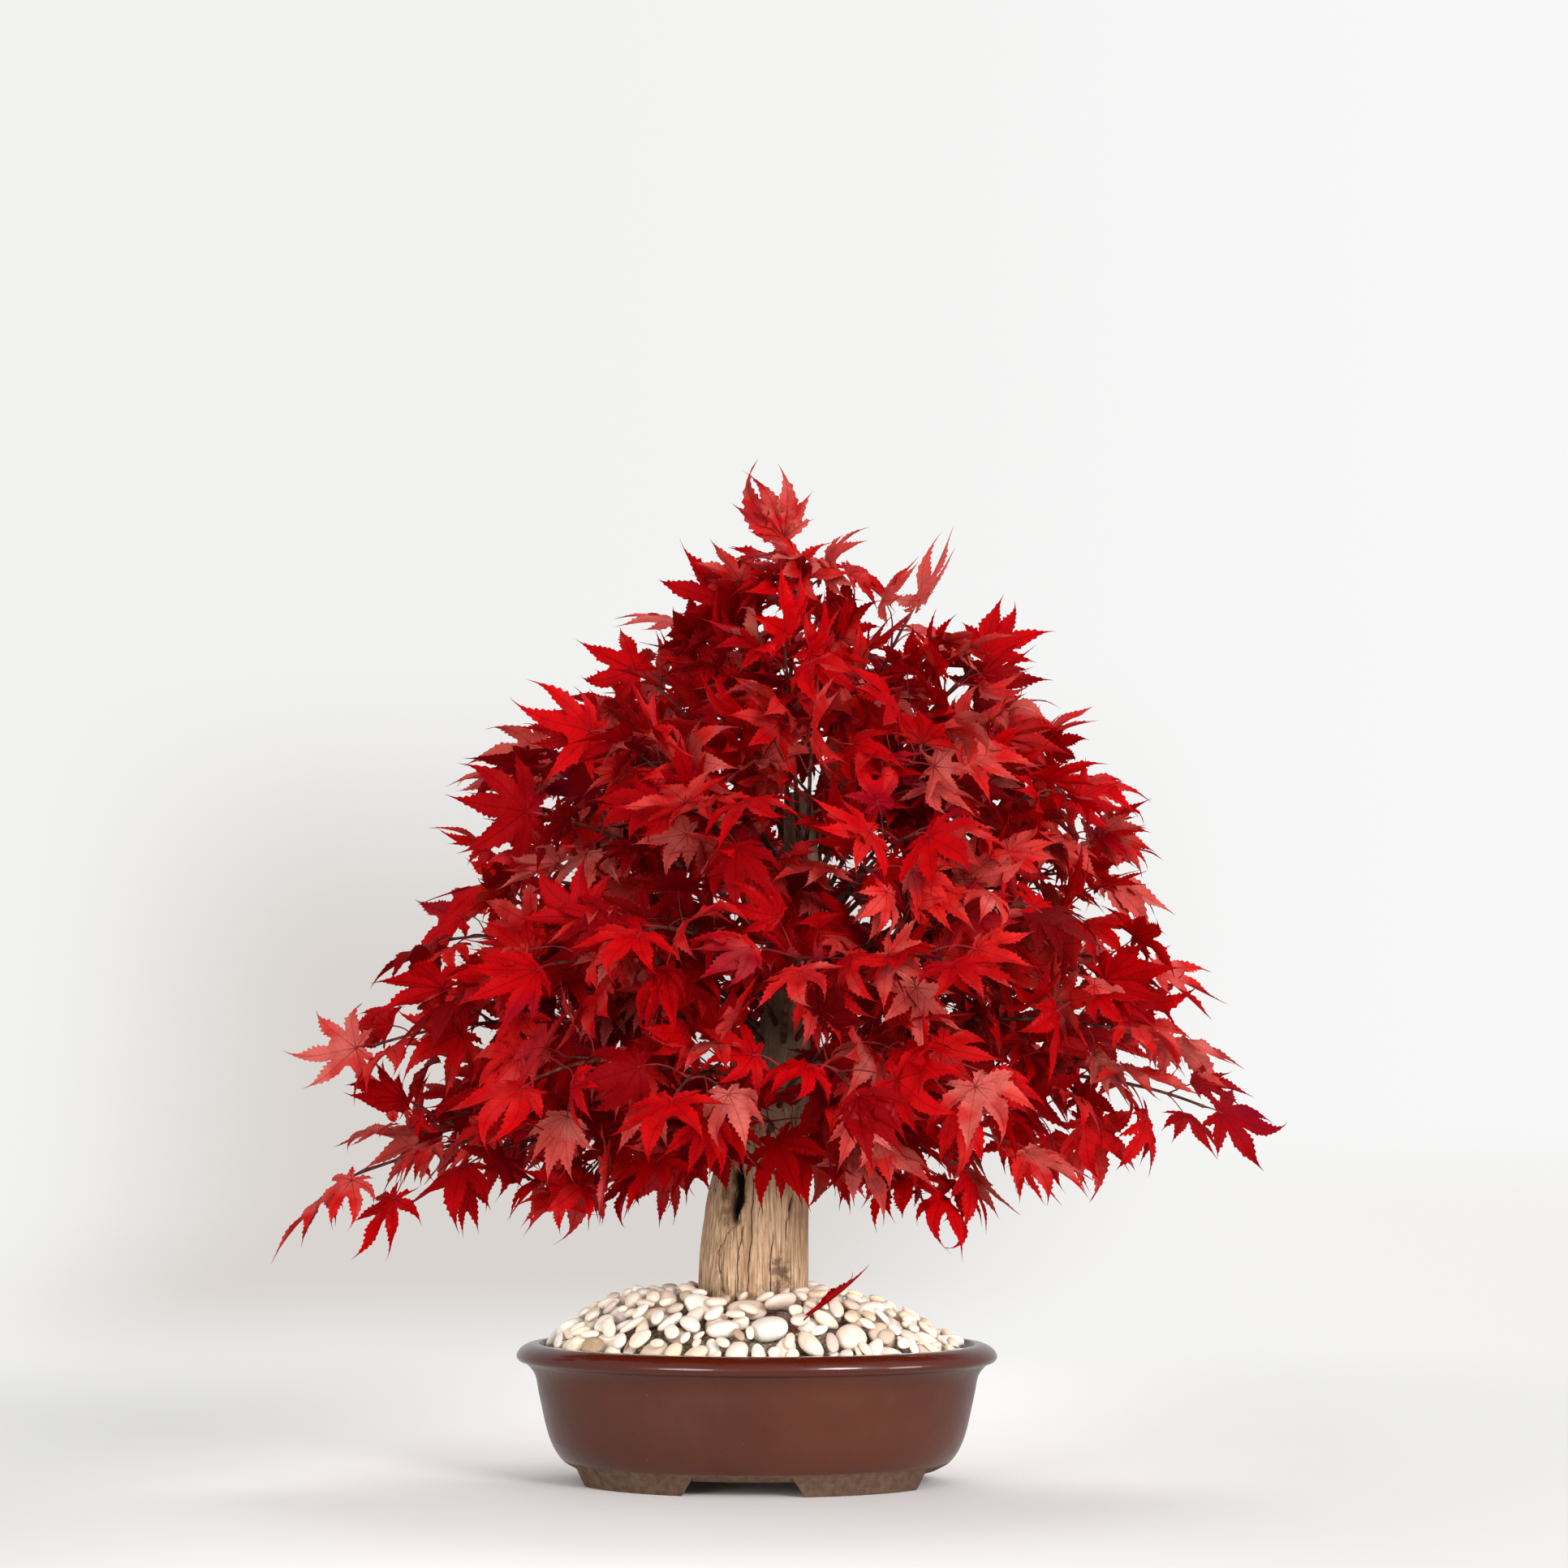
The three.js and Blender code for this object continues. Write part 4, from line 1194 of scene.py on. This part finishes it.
def make_pebbles(material):
    """All loose stones as one piece. Each has draws of its own that its material reads."""
    ball = bmesh.new()
    bmesh.ops.create_icosphere(ball, subdivisions=3, radius=1)
    ball.verts.ensure_lookup_table()
    sphere = np.array([v.co for v in ball.verts])
    faces = [[v.index for v in face.verts] for face in ball.faces]
    ball.free()
    shells = Shells()
    rng = np.random.default_rng(SEED + 9)
    for stone in pack_pebbles():
        shape, broken = stone_shape(sphere, stone, rng)
        x, y, z = (shape * (stone["a"], stone["b"], stone["c"])).T
        c, s = cos(stone["yaw"]), sin(stone["yaw"])
        dx, dy = x * c - y * s, x * s + y * c
        dz = z + dx * stone["tilt_x"] + dy * stone["tilt_y"]
        corners = np.stack([stone["x"] + dx, stone["y"] + dy, stone["z"] + dz], 1)
        kind = (rng.uniform(), rng.uniform(), float(broken))
        shells.add(in_frame(corners, 0), faces, 0, rng.uniform(-50, 50, 3), kind)
    shells.piece("loose_pebbles", ["pebbles"], [material])


# Materials


def paint(red, green, blue):
    """A colour seen as these 8-bit values, as the linear values that shaders take."""
    return (*[((v / 255 + 0.055) / 1.055) ** 2.4 for v in (red, green, blue)], 1)


class Surface:
    """A procedural material, with short calls for the nodes that feed its shader.

    Colours are given as seen, by their 8-bit values, and shares run from 0 to 1.
    """

    def __init__(self, name, **values):
        self.material = bpy.data.materials.new(name)
        self.material.use_nodes = True
        self.tree = self.material.node_tree
        self.shader = self.tree.nodes["Principled BSDF"]
        for key, value in values.items():
            self.shader.inputs[key.replace("_", " ")].default_value = value

    def node(self, kind, inputs, **settings):
        made = self.tree.nodes.new("ShaderNode" + kind)
        for key, value in settings.items():
            setattr(made, key, value)
        for key, value in inputs.items():
            if isinstance(value, bpy.types.NodeSocket):
                self.tree.links.new(value, made.inputs[key])
            else:
                made.inputs[key].default_value = value
        return made

    def where(self, stretch=(1, 1, 1)):
        """Places in the row frame in metres, stretched."""
        place = self.node("TexCoord", {}).outputs["Object"]
        return self.node("Mapping", {"Vector": place, "Scale": stretch}).outputs["Vector"]

    def parts(self, vector):
        return self.node("SeparateXYZ", {"Vector": vector}).outputs[:]

    def fact(self, name):
        return self.node("Attribute", {}, attribute_name=name).outputs["Vector"]

    def noise(self, place, scale, detail=4, roughness=0.55):
        inputs = {"Vector": place, "Scale": scale, "Detail": detail, "Roughness": roughness}
        return self.node("TexNoise", inputs).outputs["Fac"]

    def cells(self, place, scale):
        return self.node("TexVoronoi", {"Vector": place, "Scale": scale}).outputs["Distance"]

    def maths(self, operation, a, b=0.0):
        return self.node("Math", {0: a, 1: b}, operation=operation).outputs[0]

    def times(self, a, b):
        return self.maths("MULTIPLY", a, b)

    def plus(self, a, b):
        return self.maths("ADD", a, b)

    def most(self, a, b):
        return self.maths("MAXIMUM", a, b)

    def from_middle(self, noise):
        """How far a noise is from its middle value, which is a net of thin lines where it is near 0."""
        return self.maths("ABSOLUTE", self.maths("SUBTRACT", noise, 0.5))

    def span(self, value, low, high, to_low=0.0, to_high=1.0):
        """value from low to high, turned smoothly into to_low to to_high."""
        inputs = {"Value": value, "From Min": low, "From Max": high, "To Min": to_low, "To Max": to_high}
        return self.node("MapRange", inputs, interpolation_type="SMOOTHSTEP").outputs["Result"]

    def ramp(self, value, *stops):
        """A colour for each value, from stops that give a value and its colour."""
        made = self.node("ValToRGB", {"Fac": value})
        elements = made.color_ramp.elements
        while len(elements) < len(stops):
            elements.new(1)
        for element, (position, *colour) in zip(elements, stops):
            element.position = position
            element.color = paint(*colour)
        return made.outputs["Color"]

    def mix(self, share, a, b):
        """Colour a, and b over it by a share."""
        inputs = {0: share, 6: a, 7: b}
        for key in (6, 7):
            if isinstance(inputs[key], tuple):
                inputs[key] = paint(*inputs[key])
        return self.node("Mix", inputs, data_type="RGBA").outputs[2]

    def coats(self, colour, *coats):
        """A colour under others, each given as its share and then its 8-bit values."""
        for share, *over in coats:
            colour = self.mix(share, colour, tuple(over))
        return colour

    def bump(self, height, depth, strength=1.0):
        """A relief that is depth millimetres high."""
        inputs = {"Height": height, "Distance": depth * MM, "Strength": strength}
        return self.node("Bump", inputs).outputs["Normal"]

    def blend(self, share, kind, **inputs):
        """Another shader, over the first by a share."""
        other = self.node(kind, inputs).outputs[0]
        both = self.node("MixShader", {0: share, 1: self.shader.outputs[0], 2: other}).outputs[0]
        self.tree.links.new(both, self.tree.nodes["Material Output"].inputs["Surface"])

    def feed(self, **values):
        """Feeds the first shader, and gives the material."""
        for key, value in values.items():
            self.tree.links.new(value, self.shader.inputs[key.replace("_", " ")])
        return self.material


def leaf_material():
    """Red to wine red by the leaf's tone, painted darker inside the crown as painted shade, with patches of
    painted sheen, dark veins and tips, and light shining through.
    """
    s = Surface("maple_leaf", IOR=1.4, Specular_IOR_Level=0.05)
    along, beside, side = s.parts(s.fact("place"))
    tone, share, hue = s.parts(s.fact("kind"))
    place = s.where()
    rib = s.span(beside, 0.42, 0.14)
    slant = s.plus(s.times(along, 0.3), s.times(beside, -0.27))
    side_vein = s.span(s.maths("PINGPONG", slant, 0.5), 0.07, 0.015)
    vein = s.most(rib, s.times(side_vein, 0.4))
    mottle = s.noise(place, 90, 3)
    wine, crimson, scarlet = (0, 104, 0, 8), (0.3, 186, 0, 8), (0.55, 212, 8, 14)
    # painted sheen: rose patches on the paler leaves
    painted_sheen = s.times(s.span(s.noise(place, 36, 2), 0.42, 0.62), s.span(tone, 0.42, 0.9, 0, 0.9))
    under = s.times(s.span(side, -0.05, -0.4), s.span(hue, 0.4, 0.9, 0, 0.55))
    tip = s.span(share, 0.84, 1, 0, 0.65)
    edge = s.span(s.maths("ABSOLUTE", side), 0.1, 0, 0, 0.3)
    red = s.coats(
        s.ramp(tone, wine, crimson, scarlet, (0.8, 218, 44, 40), (1, 212, 84, 76)),
        (painted_sheen, 214, 110, 100),
        (s.span(mottle, 0.4, 0.7, 0, 0.35), 128, 0, 12),
        (s.span(s.noise(place, 14, 2), 0.58, 0.72, 0, 0.6), 104, 0, 34),
        (under, 176, 44, 56),
        (s.times(vein, s.span(along, 9, 1, 0.25, 0.8)), 104, 2, 16),
        (s.most(tip, edge), 92, 8, 20),
    )
    relief = s.bump(s.plus(s.times(vein, -0.6), s.noise(place, 420, 3)), 0.5, 0.8)
    through = s.ramp(hue, (0, 200, 0, 8), (0.6, 226, 4, 6), (1, 240, 26, 12))
    through = s.mix(s.times(vein, 0.5), through, (120, 0, 4))
    s.blend(0.36, "BsdfTranslucent", Color=through, Normal=relief)
    return s.feed(Base_Color=red, Roughness=s.span(mottle, 0.3, 0.7, 0.42, 0.6), Normal=relief)


def stalk_material():
    """Dull red, darker on some stalks."""
    s = Surface("leaf_stalk", Specular_IOR_Level=0.2)
    tone, _, hue = s.parts(s.fact("kind"))
    colour = s.ramp(s.noise(s.where(), 60, 2), (0.3, 118, 14, 26), (0.5, 150, 40, 42), (0.7, 82, 20, 24))
    colour = s.mix(s.span(hue, 0.3, 0.9, 0, 0.6), colour, (62, 18, 20))
    return s.feed(Base_Color=colour, Roughness=s.span(tone, 0, 1, 0.45, 0.6))


def twig_material():
    """Dark red-brown bark."""
    s = Surface("twig_bark", Specular_IOR_Level=0.2)
    place = s.where()
    colour = s.ramp(s.noise(place, 180, 3), (0.3, 48, 18, 16), (0.5, 80, 36, 28), (0.72, 116, 72, 54))
    rough = s.span(s.noise(place, 500, 2), 0.3, 0.7, 0.55, 0.85)
    return s.feed(Base_Color=colour, Roughness=rough, Normal=s.bump(s.noise(place, 900, 2), 0.3, 0.6))


def wood_material():
    """Bleached wood with long streaks, with painted shade: grey where the leaves shade it, and dark in its
    cracks and grooves.
    """
    s = Surface("weathered_wood", Specular_IOR_Level=0.2)
    cut, fine, pit = s.parts(s.fact("place"))
    place = s.where()
    z = s.parts(place)[2]
    streak = s.noise(s.where((1, 1, 0.05)), 760, 5, 0.62)
    broad = s.noise(s.where((1, 1, 0.25)), 70, 3)
    patches = s.noise(s.where((1, 1, 0.6)), 95, 3)
    umber, tan = (0.34, 136, 106, 78), (0.46, 176, 143, 111)
    line = s.span(s.from_middle(s.noise(s.where((1, 1, 0.045)), 190, 2)), 0.015, 0.004)
    line = s.times(line, s.span(s.noise(s.where((1, 1, 0.3)), 110, 2), 0.42, 0.6))
    foot = s.times(s.span(z, 0.122, 0.108), s.span(s.noise(place, 300), 0.4, 0.6))
    # painted shade in the fine cracks and the fine furrows
    dark = s.most(s.times(line, 0.75), s.times(s.span(fine, 0.4, 1), 0.15))
    colour = s.coats(
        s.ramp(streak, umber, tan, (0.56, 197, 165, 132), (0.7, 220, 194, 164)),
        (s.span(broad, 0.45, 0.7, 0, 0.5), 158, 122, 90),
        (s.span(patches, 0.52, 0.68, 0, 0.45), 150, 122, 84),
        (s.span(patches, 0.46, 0.34, 0, 0.4), 200, 158, 138),
        # painted shade: greyer high up, where the leaves shade the trunk
        (s.times(s.span(z, 0.185, 0.26), s.span(s.noise(place, 40, 2), 0.3, 0.6, 0.5, 0.95)), 112, 98, 80),
        (s.times(foot, 0.6), 106, 88, 72),
        (stain(s, (16, 122), (6, 11), 240), 70, 48, 36),
        (stain(s, (-11, 170), (8, 26), 160), 104, 70, 46),
        # painted shade: dark in the cracks and fine furrows, near black deep in the grooves
        (s.most(dark, s.span(cut, 0.25, 0.9, 0, 0.92)), 80, 55, 38),
        (s.span(pit, 0.1, 0.6), 26, 17, 12),
    )
    relief = s.bump(s.maths("SUBTRACT", streak, s.times(line, 0.8)), 0.8, 0.8)
    return s.feed(Base_Color=colour, Roughness=s.span(streak, 0.3, 0.7, 0.95, 0.75), Normal=relief)


def stain(s, middle, size, fineness):
    """A ragged blot on the trunk's front, with its middle and half size in millimetres."""
    x, _, z = s.parts(s.where())
    across = s.maths("DIVIDE", s.maths("SUBTRACT", x, (POT_MIDDLE[0] + middle[0]) * MM), size[0] * MM)
    height = s.maths("DIVIDE", s.maths("SUBTRACT", z, middle[1] * MM), size[1] * MM)
    far = s.plus(s.maths("POWER", across, 2), s.maths("POWER", height, 2))
    ragged = s.plus(far, s.span(s.noise(s.where(), fineness, 3), 0.3, 0.7, -0.7, 0.7))
    return s.span(ragged, 1.4, -0.2, 0, 0.75)


def glaze_material():
    """Brown glaze, redder and glossier on the lip, and the bare clay of the feet."""
    s = Surface("brown_glaze", Specular_IOR_Level=0.3, Coat_Roughness=0.03, Coat_IOR=1.35)
    place = s.where()
    height = s.parts(place)[2]
    lip = s.span(height, 0.0665, 0.0735)
    fleck = s.span(s.cells(place, 150), 0.06, 0.03, 0, 0.7)
    wander = s.times(s.noise(place, 60, 2), 0.002)
    bare = s.span(s.plus(height, wander), 0.0143, 0.0135)
    colour = s.coats(
        s.ramp(s.noise(place, 14), (0.3, 70, 31, 17), (0.5, 77, 36, 21), (0.7, 83, 40, 25)),
        (lip, 74, 20, 3),
        (s.span(s.noise(s.where((1, 1, 0.3)), 120, 3), 0.5, 0.8, 0, 0.12), 66, 30, 16),
        (s.times(fleck, s.span(s.noise(place, 45, 1), 0.6, 0.66)), 168, 138, 116),
    )
    clay = s.ramp(s.noise(place, 240, 5), (0.3, 76, 53, 40), (0.7, 104, 79, 61))
    colour = s.mix(bare, colour, clay)
    rough = s.plus(s.span(s.noise(place, 60, 3), 0.3, 0.7, 0.26, 0.36), s.times(bare, 0.6))
    coat = s.times(s.maths("SUBTRACT", 1.0, bare), s.span(lip, 0, 1, 0.35, 1))
    ripple = s.plus(s.noise(place, 110, 2), s.times(s.noise(place, 900, 2), 0.05))
    grit = s.times(s.times(s.noise(place, 1500, 3), bare), 0.8)
    relief = s.bump(s.plus(ripple, grit), 0.3, 0.5)
    return s.feed(Base_Color=colour, Roughness=rough, Coat_Weight=coat, Normal=relief)


def pebble_material():
    """White to tan stones by each one's own kind, mottled and thinly veined, the broken ones warmer."""
    s = Surface("pebble_stone", Specular_IOR_Level=0.35)
    kind, shade, broken = s.parts(s.fact("kind"))
    place = s.node("VectorMath", {0: s.where(), 1: s.fact("place")}, operation="ADD").outputs["Vector"]
    colour = s.ramp(
        kind,
        (0, 253, 246, 232),
        (0.25, 250, 240, 222),
        (0.45, 246, 230, 210),
        (0.6, 248, 248, 240),
        (0.76, 242, 220, 204),
        (0.88, 230, 206, 186),
        (0.95, 216, 200, 188),
        (1, 170, 142, 108),
    )
    colour = s.coats(
        colour,
        (s.times(broken, s.span(shade, 0.2, 1, 0.1, 0.55)), 246, 222, 178),
        (s.span(s.noise(place, 240, 5, 0.6), 0.45, 0.7, 0, 0.4), 214, 192, 170),
        (s.span(s.from_middle(s.noise(place, 90, 2)), 0.016, 0.004, 0, 0.4), 222, 186, 140),
        (s.span(shade, 0, 0.4, 0.2, 0), 184, 172, 162),
    )
    rough = s.span(s.noise(place, 500, 2), 0.3, 0.7, 0.42, 0.62)
    return s.feed(Base_Color=colour, Roughness=rough, Normal=s.bump(s.noise(place, 800, 3), 0.2, 0.5))


def soil_material():
    """Dark coarse grains, seen in the chinks between the stones."""
    s = Surface("dark_soil")
    place = s.where()
    grains = s.cells(place, 420)
    colour = s.ramp(grains, (0, 196, 178, 156), (0.4, 156, 136, 116), (0.8, 98, 82, 68))
    colour = s.mix(s.span(s.noise(place, 160), 0.5, 0.7, 0, 0.5), colour, (146, 132, 122))
    rough = s.span(s.noise(place, 300), 0.3, 0.7, 0.85, 1)
    return s.feed(Base_Color=colour, Roughness=rough, Normal=s.bump(s.maths("SUBTRACT", 1.0, grains), 1.6))


SHADE_FROM = 2.5  # metres in front of the tree, from where the wall's soft shade spreads out like a fan


def studio_material():
    """A pale floor that passes into a softly shining wall. The floor is painted darker at its sides as
    painted shade, the wall's glow is painted a little lighter to the right and a little dimmer low at the
    right, and a painted soft shade lies low behind the tree's left.
    """
    s = Surface("pale_studio", Roughness=0.75, Specular_IOR_Level=0.1)
    place = s.where()
    x, y, z = s.parts(place)
    away = s.node("VectorMath", {0: place}, operation="LENGTH").outputs["Value"]
    # painted shade: the floor is darker at its sides, to tone down the lamps' light there
    painted_side_shade = s.most(s.span(x, -0.05, 0.35), s.span(x, -0.11, -0.47))
    floor = s.mix(painted_side_shade, (239, 236, 235), (206, 206, 205))
    floor = s.mix(s.span(s.noise(place, 1.5, 2), 0.3, 0.7, 0, 0.15), floor, (206, 204, 203))
    # painted light: the wall's glow is a little lighter to the right
    light = s.mix(s.span(x, -1, 1), (242, 242, 241), (248, 248, 248))
    # painted shade: the tree's soft shadow on the wall, low at its left
    fan = s.maths("DIVIDE", x, s.plus(y, SHADE_FROM))
    shade = s.times(s.span(fan, -0.245, -0.16), s.span(fan, 0.06, -0.07))
    shade = s.times(shade, s.times(s.span(z, 0.95, 0.3), s.span(away, 0.3, 2.1)))
    light = s.mix(shade, light, (217, 212, 208))
    # painted shade: the glow is a little dimmer low at the right
    low = s.times(s.span(x, -0.2, 0.6), s.span(z, 0.12, 0))
    light = s.mix(low, light, (243, 242, 241))
    s.blend(s.span(away, 0.35, 1.2), "Emission", Color=light)
    s.material.cycles.emission_sampling = "NONE"
    return s.feed(Base_Color=floor)


# The studio

FLOOR_RADIUS = 3.4
CURVE_RADIUS = 2.0
CURVE_STEPS = 16
WALL_TOP = 6.0
STUDIO_SIDES = 128


def make_studio(material):
    """A pale floor that curves up into a wall all round."""
    profile = [(0.01, 0), (1.5, 0), (FLOOR_RADIUS, 0)]
    for k in range(1, CURVE_STEPS + 1):
        turn = pi / 2 * k / CURVE_STEPS
        r = FLOOR_RADIUS + CURVE_RADIUS * sin(turn)
        profile.append((r, CURVE_RADIUS * (1 - cos(turn))))
    profile.append((FLOOR_RADIUS + CURVE_RADIUS, WALL_TOP))
    corners, faces = lathe(profile, STUDIO_SIDES)
    mesh = bpy.data.meshes.new("studio")
    mesh.from_pydata(corners.tolist(), [], [face[::-1] for face in faces[:-1]])
    mesh.polygons.foreach_set("use_smooth", [True] * len(mesh.polygons))
    mesh.materials.append(material)
    studio = linked("studio", mesh)
    studio.visible_glossy = False


def area_light(name, place, target, size, power):
    """A round soft light that looks at a target."""
    light = bpy.data.lights.new(name, "AREA")
    light.shape = "DISK"
    light.size = size
    light.energy = power
    made = linked(name, light)
    made.location = place
    made.rotation_euler = (Vector(target) - Vector(place)).to_track_quat("-Z", "Y").to_euler()


def light_studio():
    """Even light all round, with a key light at the front right, a side light, a fill and a top light."""
    world = bpy.data.worlds.new("studio_light")
    world.use_nodes = True
    world.node_tree.nodes["Background"].inputs["Color"].default_value = (1, 1, 1, 1)
    world.node_tree.nodes["Background"].inputs["Strength"].default_value = 0.5
    bpy.context.scene.world = world
    middle = (0, 0, 0.25)
    area_light("key", (1.7, -2.4, 1.3), middle, 1.0, 60)
    area_light("side", (2.4, -1.1, 0.45), (0, 0, 0.1), 0.9, 22)
    area_light("fill", (-1.3, -2.7, 0.5), middle, 1.2, 38)
    area_light("top", (0.3, 1.1, 2.3), middle, 1.4, 26)
    bpy.context.scene.view_settings.view_transform = "Standard"


# The camera stands where the photograph was taken from, in the tree's axes
CAMERA_PLACE = (16.1, -2451, 268.5)
CAMERA_PITCH = radians(3.24)
SENSOR_WIDTH = 36
FOCAL_LENGTH = 95.78


def make_camera():
    """The camera of the photograph's view, level but for a small tilt upwards."""
    lens = bpy.data.cameras.new("camera")
    lens.sensor_width = SENSOR_WIDTH
    lens.lens = FOCAL_LENGTH
    camera = linked("camera", lens)
    camera.location = in_frame(CAMERA_PLACE) * MM
    camera.rotation_euler = (pi / 2 + CAMERA_PITCH, 0, TREE_TURN)
    bpy.context.scene.camera = camera


make_camera()
light_studio()
make_studio(studio_material())
foliage = [leaf_material(), stalk_material(), twig_material()]
make_twigs(foliage)
make_fallen_leaf(foliage)
make_trunk(wood_material())
make_pebbles(pebble_material())
make_pot(glaze_material())
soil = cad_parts["soil"]
soil.data.materials.clear()
soil.data.materials.append(soil_material())
